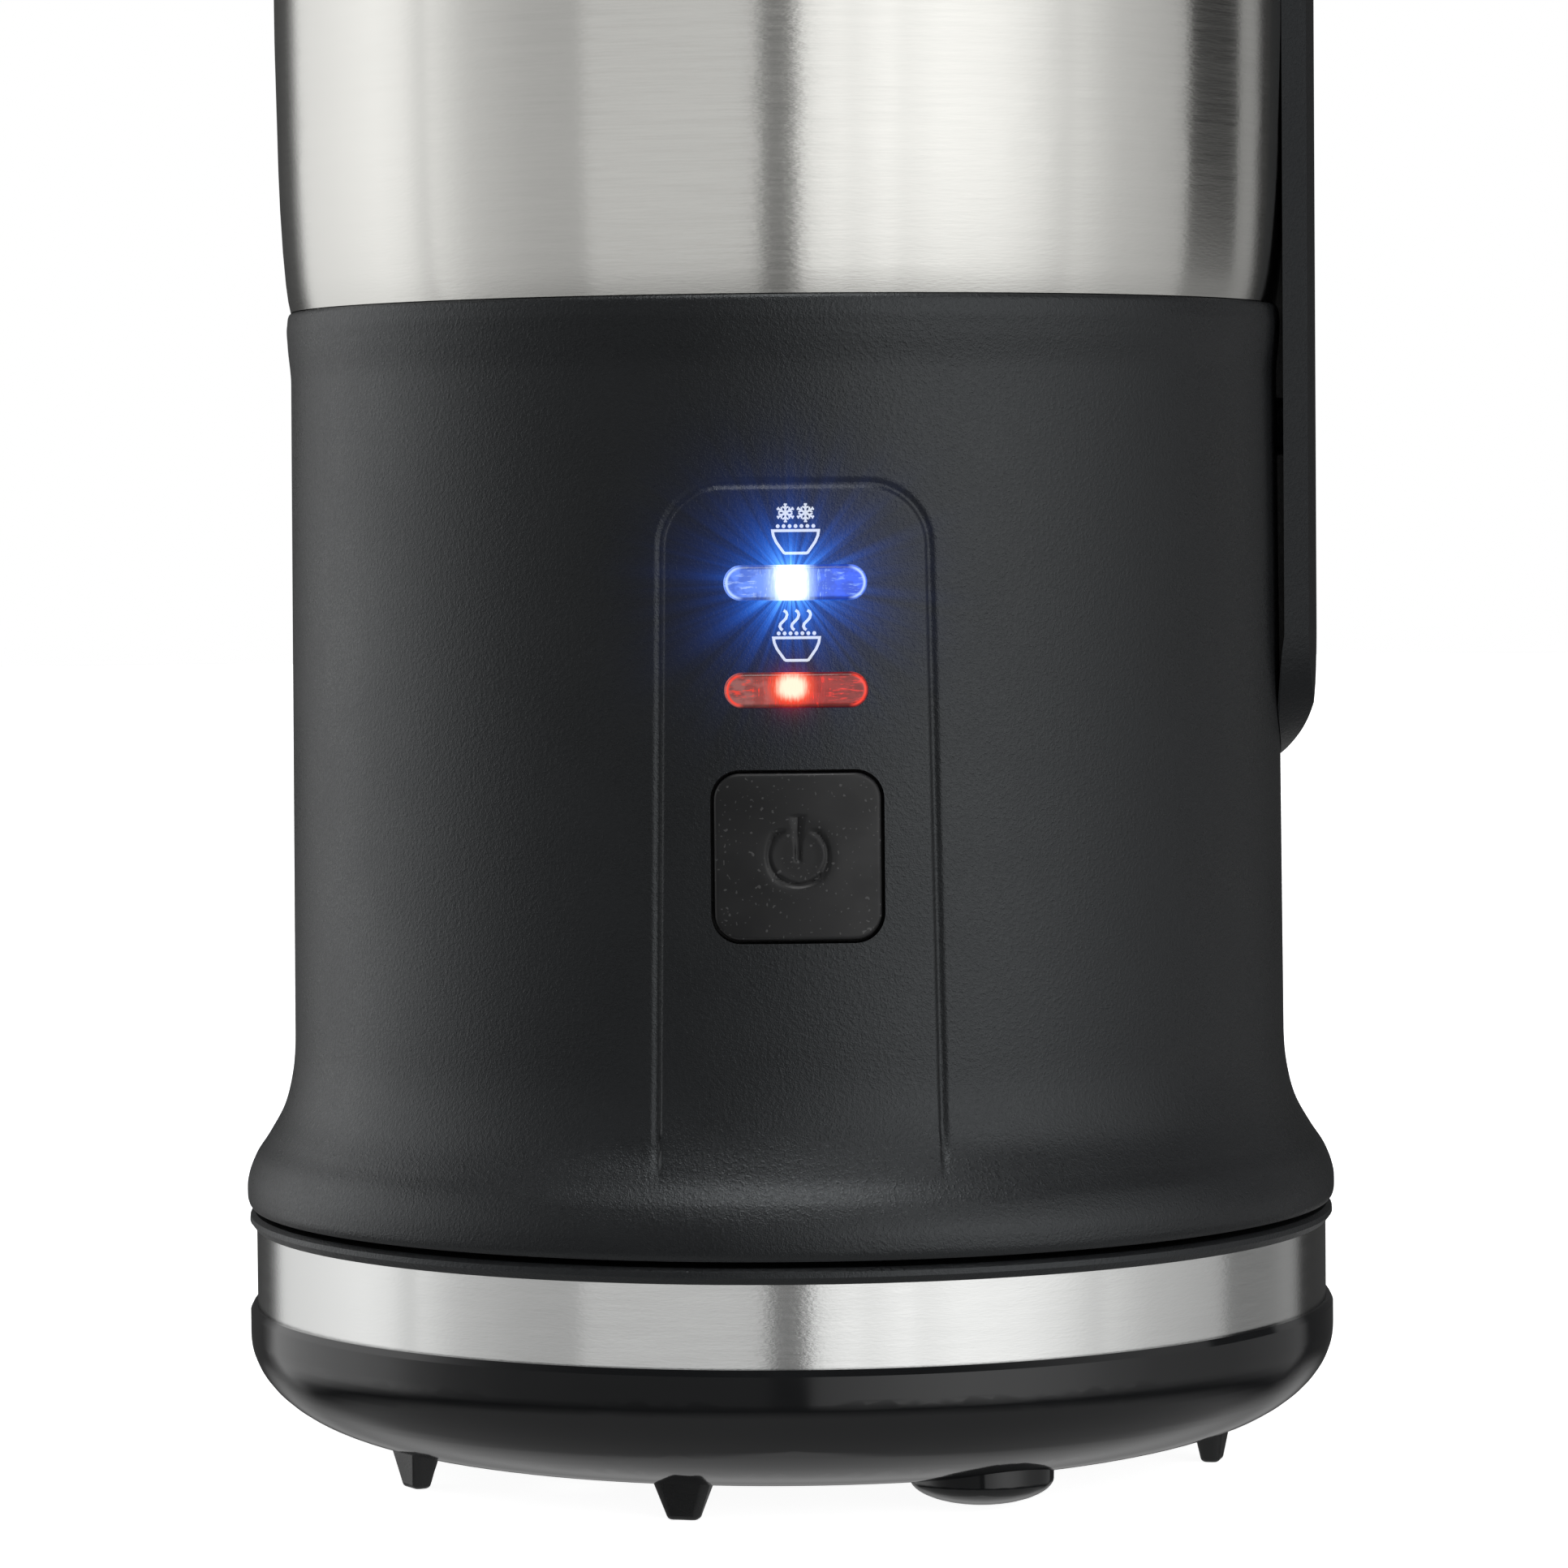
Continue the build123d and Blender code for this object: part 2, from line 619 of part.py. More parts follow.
def grip_outline(plane):
    """The spine's outline seen from the side: straight flanks and a round lower end."""
    half = GRIP_W / 2
    with BuildSketch(plane) as outline:
        with BuildLine():
            left = Line((-half, JACKET_TOP_Z), (-half, GRIP_LOW_Z + half))
            tip = ThreePointArc(left @ 1, (0, GRIP_LOW_Z), (half, GRIP_LOW_Z + half))
            right = Line(tip @ 1, (half, JACKET_TOP_Z))
            Line(right @ 1, left @ 0)
        make_face()
    return outline.sketch


with BuildPart() as grip_spine:
    extrude(grip_outline(Plane.YZ.offset(44.0)), amount=GRIP_FLANK_X - 44.0)
    extrude(grip_outline(Plane.YZ.offset(GRIP_FLANK_X)), amount=5.0, taper=26)
    with BuildSketch(Plane.XY.offset(GRIP_LOW_Z)):
        with Locations((GRIP_R - GRIP_CROWN_R, 0)):
            Circle(GRIP_CROWN_R)
    extrude(amount=JACKET_TOP_Z - 0.1 - GRIP_LOW_Z, mode=Mode.INTERSECT)
    with BuildSketch(Plane.XZ.offset(-GRIP_W)):
        with BuildLine():
            nose = Spline(
                (47.6, GRIP_LOW_Z - 0.6),
                (49.9, 70.5),
                (51.1, 74.4),
                (51.6, 79.5),
                (GRIP_R, 92.0),
                tangents=((0.62, 1), (0, 1)),
            )
            Polyline(nose @ 1, (GRIP_R, 180), (43, 180), (43, GRIP_LOW_Z - 0.6), nose @ 0)
        make_face()
    extrude(amount=2 * GRIP_W, mode=Mode.INTERSECT)
    turned(
        [
            (0, 60),
            (GRIP_ROOT_R, 60),
            (GRIP_ROOT_R, 73.0),
            (GRIP_BACK_R, 80.0),
            (GRIP_BACK_R, 180),
            (0, 180),
        ],
        mode=Mode.SUBTRACT,
    )
    with BuildSketch(Plane.YZ.offset(GRIP_BOSS_X)):
        with Locations(*[(0, z) for z in GRIP_SCREW_Z]):
            Circle(2.95)
    extrude(amount=5.5)
    with BuildSketch(Plane.YZ.offset(GRIP_BOSS_X)):
        with Locations(*[(0, z) for z in GRIP_SCREW_Z]):
            Circle(SCREW_SHANK_R)
    extrude(amount=5.2, mode=Mode.SUBTRACT)
grip_spine.part.label = "grip_spine"
export_step(grip_spine.part, "parts/grip_spine.step")

with BuildPart() as grip_screws:
    with BuildSketch(Plane.YZ.offset(GRIP_BOSS_X - 1.6)):
        with Locations(*[(0, z) for z in GRIP_SCREW_Z]):
            Circle(SCREW_HEAD_R)
    extrude(amount=1.6)
    with BuildSketch(Plane.YZ.offset(GRIP_BOSS_X)):
        with Locations(*[(0, z) for z in GRIP_SCREW_Z]):
            Circle(SCREW_SHANK_R)
    extrude(amount=5.0)
grip_screws.part.label = "grip_screws"
export_step(grip_screws.part, "parts/grip_screws.step")

# ---- jug: heater and temperature parts under the pot ------------------------------------
HEATER_R = 25.0
HEATER_TUBE_R = 3.0
HEATER_ARC = 320
HEATER_PLATE_Z = 93.8
POT_UNDERSIDE_Z = POT_FLOOR_Z - POT_WALL
HEATER_ENDS = around(HEATER_R, (90 - (360 - HEATER_ARC) / 2, 90 + (360 - HEATER_ARC) / 2))
HEATER_TAIL_Z = 84.0

with BuildPart() as heater_plate:
    tube(30.0, 20.0, HEATER_PLATE_Z, POT_UNDERSIDE_Z)
heater_plate.part.label = "heater_plate"
export_step(heater_plate.part, "parts/heater_plate.step")

with BuildPart() as heater_element:
    start = Plane(
        origin=(*HEATER_ENDS[1], HEATER_PLATE_Z - HEATER_TUBE_R),
        x_dir=(HEATER_ENDS[1][0], HEATER_ENDS[1][1], 0),
        z_dir=(-HEATER_ENDS[1][1], HEATER_ENDS[1][0], 0),
    )
    with BuildSketch(start):
        Circle(HEATER_TUBE_R)
    revolve(axis=Axis.Z, revolution_arc=HEATER_ARC)
    posts(HEATER_ENDS, 1.2, HEATER_TAIL_Z, HEATER_PLATE_Z - HEATER_TUBE_R)
heater_element.part.label = "heater_element"
export_step(heater_element.part, "parts/heater_element.step")

with BuildPart() as heater_leads:
    posts(HEATER_ENDS, 1.0, POWER_BOARD_Z + 1.6, HEATER_TAIL_Z)
heater_leads.part.label = "heater_leads"
export_step(heater_leads.part, "parts/heater_leads.step")

with BuildPart() as thermostat:
    posts([(0, HEATER_R)], 4.4, 88.5, HEATER_PLATE_Z)
    posts([(0, HEATER_R)], 3.2, 86.5, 88.5)
thermostat.part.label = "thermostat"
export_step(thermostat.part, "parts/thermostat.step")

with BuildPart() as temperature_sensor:
    posts([(17.5, 0)], 1.5, 89.0, POT_UNDERSIDE_Z)
temperature_sensor.part.label = "temperature_sensor"
export_step(temperature_sensor.part, "parts/temperature_sensor.step")

# ---- jug: motor and its plate -----------------------------------------------------------
MOTOR_R = 12.0
MOTOR_PLATE_T = 2.5
MOTOR_SCREWS = [(-8.5, 0), (8.5, 0)]
SHAFT_R = 1.15
PLATE_TOP_Z = MOTOR_PLATE_Z + MOTOR_PLATE_T

with BuildPart() as motor_plate:
    tube(45.4, 3.2, MOTOR_PLATE_Z, PLATE_TOP_Z)
    block((-50, -50, MOTOR_PLATE_Z), (50, -37.4, PLATE_TOP_Z), mode=Mode.SUBTRACT)
    posts(PILLARS, SCREW_SHANK_R, MOTOR_PLATE_Z, PLATE_TOP_Z, mode=Mode.SUBTRACT)
    posts(MOTOR_SCREWS, SCREW_SHANK_R, MOTOR_PLATE_Z, PLATE_TOP_Z, mode=Mode.SUBTRACT)
    posts(HEATER_ENDS, 1.6, MOTOR_PLATE_Z, PLATE_TOP_Z, mode=Mode.SUBTRACT)
motor_plate.part.label = "motor_plate"
export_step(motor_plate.part, "parts/motor_plate.step")

with BuildPart() as plate_screws:
    screws(PILLARS, 2.2, PLATE_TOP_Z, PLATE_TOP_Z + 1.6, SCREW_SHANK_R, 67.0, PLATE_TOP_Z)
plate_screws.part.label = "plate_screws"
export_step(plate_screws.part, "parts/plate_screws.step")

with BuildPart() as motor_can:
    tube(MOTOR_R, 0, 53.0, MOTOR_PLATE_Z)
    fillet(motor_can.faces().sort_by(Axis.Z)[0].edges(), radius=1.5)
    tube(3.1, 0, MOTOR_PLATE_Z, PLATE_TOP_Z)
    block((-6.0, -1.0, 50.0), (-5.4, 1.0, 53.5))
    block((5.4, -1.0, 50.0), (6.0, 1.0, 53.5))
    tube(SHAFT_R + RUNNING_GAP, 0, 57.0, PLATE_TOP_Z, mode=Mode.SUBTRACT)
    posts(MOTOR_SCREWS, SCREW_SHANK_R, 70.0, MOTOR_PLATE_Z, mode=Mode.SUBTRACT)
motor_can.part.label = "motor_can"
export_step(motor_can.part, "parts/motor_can.step")

with BuildPart() as motor_screws:
    screws(MOTOR_SCREWS, 2.0, PLATE_TOP_Z, PLATE_TOP_Z + 1.4, SCREW_SHANK_R, 71.0, PLATE_TOP_Z)
motor_screws.part.label = "motor_screws"
export_step(motor_screws.part, "parts/motor_screws.step")

# ---- rotor: shaft, magnet carrier and drive magnets -------------------------------------
MAGNET_R = 3.1
MAGNET_PITCH_R = 9.6
MAGNET_ANGLES = (45, 135, 225, 315)
CARRIER_TOP_Z = 94.4
MAGNETS = around(MAGNET_PITCH_R, MAGNET_ANGLES)

with BuildPart() as motor_shaft:
    tube(SHAFT_R, 0, 58.0, 91.0)
motor_shaft.part.label = "motor_shaft"
export_step(motor_shaft.part, "parts/motor_shaft.step")

with BuildPart() as magnet_carrier:
    turned([
        (SHAFT_R, 84.0),
        (5.0, 84.0),
        (5.0, 87.5),
        (14.5, 87.5),
        (14.5, CARRIER_TOP_Z),
        (0, CARRIER_TOP_Z),
        (0, 91.0),
        (SHAFT_R, 91.0),
    ])
    posts(MAGNETS, MAGNET_R, CARRIER_TOP_Z - 4, CARRIER_TOP_Z, mode=Mode.SUBTRACT)
magnet_carrier.part.label = "magnet_carrier"
export_step(magnet_carrier.part, "parts/magnet_carrier.step")

with BuildPart() as drive_magnets:
    posts(MAGNETS, MAGNET_R, CARRIER_TOP_Z - 4, CARRIER_TOP_Z - 0.1)
drive_magnets.part.label = "drive_magnets"
export_step(drive_magnets.part, "parts/drive_magnets.step")

# ---- whisk: hub, magnets, wire frame and frothing coil ----------------------------------
HUB_LOW_Z = 98.4
HUB_TOP_Z = 104.4
RING_Z = 101.6
WIRE_R = 0.6
COIL_R = 2.3
SPOKE_ANGLES = (0, 90, 180, 270)
SPOKE_ROOT_R = 13.4


def spoke_plane(angle):
    """The plane across a spoke's root, facing outwards."""
    outwards = (cos(radians(angle)), sin(radians(angle)), 0)
    root = (*around(SPOKE_ROOT_R, (angle,))[0], RING_Z)
    return Plane(root, x_dir=(-outwards[1], outwards[0], 0), z_dir=outwards)


with BuildPart() as whisk_frame:
    with BuildSketch(Plane.XZ):
        with Locations((WHISK_RING_R, RING_Z)):
            Circle(WIRE_R)
    revolve(axis=Axis.Z)
    for angle in SPOKE_ANGLES:
        with BuildSketch(spoke_plane(angle)):
            Circle(WIRE_R - 0.1)
        extrude(amount=WHISK_RING_R - SPOKE_ROOT_R)
whisk_frame.part.label = "whisk_frame"
export_step(whisk_frame.part, "parts/whisk_frame.step")

with BuildPart() as whisk_hub:
    turned([
        (1.5 + RUNNING_GAP, HUB_LOW_Z),
        (HUB_R - 0.6, HUB_LOW_Z),
        (HUB_R, HUB_LOW_Z + 0.6),
        (HUB_R, HUB_TOP_Z - 0.8),
        (HUB_R - 0.8, HUB_TOP_Z),
        (4.4, HUB_TOP_Z),
        (3.4, HUB_TOP_Z + 2),
        (3.0, 112.0),
        (1.6, 113.2),
        (0, 113.2),
        (0, 110.2),
        (1.5 + RUNNING_GAP, 110.2),
    ])
    posts(MAGNETS, MAGNET_R, HUB_LOW_Z + 0.8, HUB_LOW_Z + 4.8, mode=Mode.SUBTRACT)
    add(whisk_frame.part, mode=Mode.SUBTRACT)
whisk_hub.part.label = "whisk_hub"
export_step(whisk_hub.part, "parts/whisk_hub.step")

with BuildPart() as whisk_magnets:
    posts(MAGNETS, MAGNET_R, HUB_LOW_Z + 0.8, HUB_LOW_Z + 4.8)
whisk_magnets.part.label = "whisk_magnets"
export_step(whisk_magnets.part, "parts/whisk_magnets.step")

with BuildPart() as whisk_coil:
    with BuildSketch(Plane.XZ):
        with Locations((WHISK_RING_R, RING_Z)):
            Circle(COIL_R)
            Circle(COIL_R - 0.5, mode=Mode.SUBTRACT)
        with Locations((WHISK_RING_R - COIL_R, RING_Z)):
            Rectangle(COIL_R, 2 * WIRE_R + 0.4, mode=Mode.SUBTRACT)
    revolve(axis=Axis.Z)
whisk_coil.part.label = "whisk_coil"
export_step(whisk_coil.part, "parts/whisk_coil.step")

# ---- jug: boards, lights, lenses and switch ---------------------------------------------
BOARD_T = 1.6
BOARD_BACK_Y = BOARD_FRONT_Y + BOARD_T
BOARD_SCREWS = [(-12.5, 49.5), (12.5, 49.5), (-12.5, 91.5), (12.5, 91.5)]
LENS_FLANGE_Y = (-45.0, -44.0)
LENS_FACE_R = 48.55
LED_X = -0.4

with BuildPart() as power_board:
    tube(38.8, 0, POWER_BOARD_Z, POWER_BOARD_Z + BOARD_T)
    block((-40, -40, POWER_BOARD_Z), (40, -36.5, POWER_BOARD_Z + BOARD_T), mode=Mode.SUBTRACT)
    posts(BOARD_POSTS, SCREW_SHANK_R, POWER_BOARD_Z, POWER_BOARD_Z + BOARD_T, mode=Mode.SUBTRACT)
power_board.part.label = "power_board"
export_step(power_board.part, "parts/power_board.step")

with BuildPart() as power_board_screws:
    board_top = POWER_BOARD_Z + BOARD_T
    screws(BOARD_POSTS, 2.2, board_top, board_top + 1.5, SCREW_SHANK_R, POWER_BOARD_Z - 7, board_top)
power_board_screws.part.label = "power_board_screws"
export_step(power_board_screws.part, "parts/power_board_screws.step")

with BuildPart() as relay:
    block((14.5, -12, POWER_BOARD_Z + BOARD_T), (29.5, 7, 63.0))
    fillet(relay.edges().filter_by(Axis.Z), radius=0.8)
relay.part.label = "relay"
export_step(relay.part, "parts/relay.step")

with BuildPart() as capacitor:
    posts([(-22, -2)], 6.3, POWER_BOARD_Z + BOARD_T, 67.0)
    fillet(capacitor.faces().sort_by(Axis.Z)[-1].edges(), radius=0.8)
capacitor.part.label = "capacitor"
export_step(capacitor.part, "parts/capacitor.step")

with BuildPart() as board_link:
    block((-8, BOARD_BACK_Y, POWER_BOARD_Z + BOARD_T), (8, -31, 54.5))
board_link.part.label = "board_link"
export_step(board_link.part, "parts/board_link.step")

with BuildPart() as control_board:
    block((-15, BOARD_FRONT_Y, 46.5), (15, BOARD_BACK_Y, 94.4))
    with BuildSketch(Plane.XZ.offset(-BOARD_BACK_Y)):
        with Locations(*BOARD_SCREWS):
            Circle(0.9)
    extrude(amount=BOARD_T, mode=Mode.SUBTRACT)
control_board.part.label = "control_board"
export_step(control_board.part, "parts/control_board.step")

with BuildPart() as board_screws:
    screws_y(BOARD_SCREWS, 1.8, BOARD_BACK_Y + 1.2, 0.9, 1.2, 4.6)
board_screws.part.label = "board_screws"
export_step(board_screws.part, "parts/board_screws.step")

with BuildPart() as lens_holder:
    block((-9.5, LENS_FLANGE_Y[1], 72.8), (9.5, BOARD_FRONT_Y, 89.4))
    for lens_z in LENS_Z:
        block((-6.4, LENS_FLANGE_Y[1], lens_z - 2.4), (6.4, BOARD_FRONT_Y, lens_z + 2.4), mode=Mode.SUBTRACT)
lens_holder.part.label = "lens_holder"
export_step(lens_holder.part, "parts/lens_holder.step")


def light(lens_z):
    """A light-emitting diode: a square body with a round lens, facing -Y."""
    block((LED_X - 1.6, -42.6, lens_z - 1.5), (LED_X + 1.6, BOARD_FRONT_Y, lens_z + 1.5))
    with BuildSketch(Plane.XZ.offset(42.6)) as dome:
        with Locations((LED_X, lens_z)):
            Circle(1.2)
    extrude(dome.sketch, amount=0.7)


def lens(lens_z):
    """A light bar: a round-ended window with a flange behind the housing's wall."""
    with BuildSketch(Plane.XZ.offset(-LENS_FLANGE_Y[0])) as window:
        with Locations((0, lens_z)):
            SlotOverall(LENS_W, LENS_H)
    extrude(window.sketch, amount=5)
    tube(LENS_FACE_R, 0, lens_z - 4, lens_z + 4, mode=Mode.INTERSECT)
    with BuildSketch(Plane.XZ.offset(-LENS_FLANGE_Y[1])) as flange:
        with Locations((0, lens_z)):
            RectangleRounded(14.2, 5.0, 1.0)
    extrude(flange.sketch, amount=LENS_FLANGE_Y[1] - LENS_FLANGE_Y[0])


with BuildPart() as blue_led:
    light(LENS_Z[0])
blue_led.part.label = "blue_led"
export_step(blue_led.part, "parts/blue_led.step")

with BuildPart() as red_led:
    light(LENS_Z[1])
red_led.part.label = "red_led"
export_step(red_led.part, "parts/red_led.step")

with BuildPart() as blue_lens:
    lens(LENS_Z[0])
blue_lens.part.label = "blue_lens"
export_step(blue_lens.part, "parts/blue_lens.step")

with BuildPart() as red_lens:
    lens(LENS_Z[1])
red_lens.part.label = "red_lens"
export_step(red_lens.part, "parts/red_lens.step")

BUTTON_FACE_R = 48.6
BUTTON_BACK_Y = -43.9
BUTTON_POCKET_Y = -45.5
SWITCH_HALF = 3.1
SWITCH_FRONT_Y = -43.0

with BuildPart() as power_button:
    with BuildSketch(Plane.XZ.offset(-BUTTON_BACK_Y)):
        with Locations((0, BUTTON_Z)):
            RectangleRounded(BUTTON_SIZE, BUTTON_SIZE, BUTTON_CORNER_R)
    extrude(amount=6)
    tube(BUTTON_FACE_R, 0, BUTTON_Z - 10, BUTTON_Z + 10, mode=Mode.INTERSECT)
    front = power_button.faces().filter_by(GeomType.CYLINDER).sort_by(SortBy.AREA)[-1]
    fillet(front.edges(), radius=0.4)
    with BuildSketch(Plane.XZ.offset(-BUTTON_BACK_Y)):
        with Locations((0, BUTTON_Z)):
            RectangleRounded(17.3, 17.3, 3.0)
    extrude(amount=0.8)
    with BuildSketch(Plane.XZ.offset(-BUTTON_BACK_Y)):
        with Locations((0, BUTTON_Z)):
            RectangleRounded(12.2, 12.2, 1.5)
    extrude(amount=BUTTON_BACK_Y - BUTTON_POCKET_Y, mode=Mode.SUBTRACT)
    with BuildSketch(Plane.XZ.offset(-BUTTON_BACK_Y + 0.05)):
        with Locations((0, BUTTON_Z)):
            Circle(2.0)
    extrude(amount=BUTTON_BACK_Y - BUTTON_POCKET_Y - 0.05)
    with BuildSketch(Plane.XZ.offset(48.2)):
        with Locations((0, BUTTON_Z + 0.25)):
            Circle(3.1)
            Circle(2.6, mode=Mode.SUBTRACT)
        with Locations((0, BUTTON_Z + 3.2)):
            Rectangle(2.4, 2.2, mode=Mode.SUBTRACT)
        with Locations((0, BUTTON_Z + 1.45)):
            SlotOverall(3.8, 0.5, rotation=90)
    extrude(amount=1, mode=Mode.SUBTRACT)
power_button.part.label = "power_button"
export_step(power_button.part, "parts/power_button.step")

with BuildPart() as button_spring:
    with BuildLine():
        coil_path = Helix(
            pitch=1.05,
            height=4.2,
            radius=5.2,
            center=(0, BUTTON_POCKET_Y + 0.35, BUTTON_Z),
            direction=(0, 1, 0),
        )
    with BuildSketch(Plane(origin=coil_path @ 0, z_dir=coil_path % 0)):
        Circle(0.2)
    sweep(is_frenet=True)
button_spring.part.label = "button_spring"
export_step(button_spring.part, "parts/button_spring.step")

with BuildPart() as switch_body:
    block(
        (-SWITCH_HALF, SWITCH_FRONT_Y, BUTTON_Z - SWITCH_HALF),
        (SWITCH_HALF, BOARD_FRONT_Y, BUTTON_Z + SWITCH_HALF),
    )
    with BuildSketch(Plane.XZ.offset(-SWITCH_FRONT_Y - 2.1)):
        with Locations((0, BUTTON_Z)):
            Circle(1.7 + RUNNING_GAP)
    extrude(amount=2.1, mode=Mode.SUBTRACT)
switch_body.part.label = "switch_body"
export_step(switch_body.part, "parts/switch_body.step")

with BuildPart() as switch_plunger:
    with BuildSketch(Plane.XZ.offset(41.6)):
        with Locations((0, BUTTON_Z)):
            Circle(1.7)
    extrude(amount=-BUTTON_BACK_Y - 41.6)
switch_plunger.part.label = "switch_plunger"
export_step(switch_plunger.part, "parts/switch_plunger.step")

# ---- lid --------------------------------------------------------------------------------
PLUG_R = 36.6
LID_SEAT_Z = POT_RIM_Z + 0.05
KNOB_LOW_Z = 189.4

with BuildPart() as lid_cover:
    turned([
        (2.1, 187.0),
        (5.0, 187.0),
        (PLUG_R - 2.4, 185.2),
        (PLUG_R - 2.4, 177.0),
        (PLUG_R, 177.0),
        (PLUG_R, LID_SEAT_Z),
        (LID_R, LID_SEAT_Z),
        (LID_R, 185.6),
        (LID_R - 0.9, 186.4),
        (30.0, 188.2),
        (12.0, KNOB_LOW_Z),
        (2.1, KNOB_LOW_Z),
    ])
lid_cover.part.label = "lid_cover"
export_step(lid_cover.part, "parts/lid_cover.step")

with BuildPart() as lid_seal:
    turned([
        (PLUG_R, 178.4),
        (37.0, 178.4),
        (37.65, 179.0),
        (37.0, 179.6),
        (37.0, 180.6),
        (37.65, 181.2),
        (37.0, 181.8),
        (PLUG_R, 181.8),
    ])
lid_seal.part.label = "lid_seal"
export_step(lid_seal.part, "parts/lid_seal.step")

with BuildPart() as lid_knob:
    with BuildSketch(Plane.XZ):
        with BuildLine():
            Line((0, 197.5), (0, KNOB_TOP_Z))
            Line((0, KNOB_TOP_Z), (8.0, KNOB_TOP_Z))
            crown = Spline(
                (8.0, KNOB_TOP_Z),
                (10.6, 202.3),
                (10.8, 199.4),
                (8.2, 194.0),
                (10.5, KNOB_LOW_Z),
                tangents=((1, 0), (0.8, -1)),
            )
            Polyline(
                crown @ 1,
                (SCREW_SHANK_R, KNOB_LOW_Z),
                (SCREW_SHANK_R, 197.5),
                (0, 197.5),
            )
        make_face()
    revolve(axis=Axis.Z)
lid_knob.part.label = "lid_knob"
export_step(lid_knob.part, "parts/lid_knob.step")

with BuildPart() as knob_screw:
    tube(4.2, 0, 185.2, 187.0)
    tube(2.1, 0, 187.0, KNOB_LOW_Z)
    tube(SCREW_SHANK_R, 0, KNOB_LOW_Z, 197.0)
knob_screw.part.label = "knob_screw"
export_step(knob_screw.part, "parts/knob_screw.step")
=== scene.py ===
import math

import bmesh
import bpy
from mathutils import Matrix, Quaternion, Vector


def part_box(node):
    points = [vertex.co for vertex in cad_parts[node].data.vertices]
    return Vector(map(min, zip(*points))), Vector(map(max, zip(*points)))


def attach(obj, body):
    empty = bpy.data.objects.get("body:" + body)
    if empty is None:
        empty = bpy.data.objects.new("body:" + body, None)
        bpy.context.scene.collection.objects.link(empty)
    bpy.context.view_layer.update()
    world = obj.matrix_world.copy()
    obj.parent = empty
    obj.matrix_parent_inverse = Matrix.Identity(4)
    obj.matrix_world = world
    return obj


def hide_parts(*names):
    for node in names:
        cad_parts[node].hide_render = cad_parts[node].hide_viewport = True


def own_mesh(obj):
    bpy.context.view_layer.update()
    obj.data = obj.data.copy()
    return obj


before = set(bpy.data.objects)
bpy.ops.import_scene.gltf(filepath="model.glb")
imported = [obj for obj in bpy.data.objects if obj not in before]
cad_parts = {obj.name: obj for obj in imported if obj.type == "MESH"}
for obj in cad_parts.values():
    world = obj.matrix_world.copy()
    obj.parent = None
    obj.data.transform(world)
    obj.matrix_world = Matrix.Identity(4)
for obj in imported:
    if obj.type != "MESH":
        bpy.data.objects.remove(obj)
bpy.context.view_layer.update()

# The milk frother's looks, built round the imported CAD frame. New shapes are worked out in
# millimetres and scaled in piece().
MM = 0.001
SCENE = bpy.context.scene
JUG = "jug"

# ---- places, all from the frame ----------------------------------------------------------
blue_low, blue_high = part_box("blue_lens")
red_low, red_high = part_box("red_lens")
led_low, led_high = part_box("blue_led")
button_low, button_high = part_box("power_button")
LED_X = (led_low.x + led_high.x) / 2
BLUE_Z = (blue_low.z + blue_high.z) / 2
RED_Z = (red_low.z + red_high.z) / 2
BUTTON_Z = (button_low.z + button_high.z) / 2


# ---- node helpers --------------------------------------------------------------------------
MIX_A, MIX_B, MIX_RESULT = 6, 7, 2    # a Mix node's colour sockets


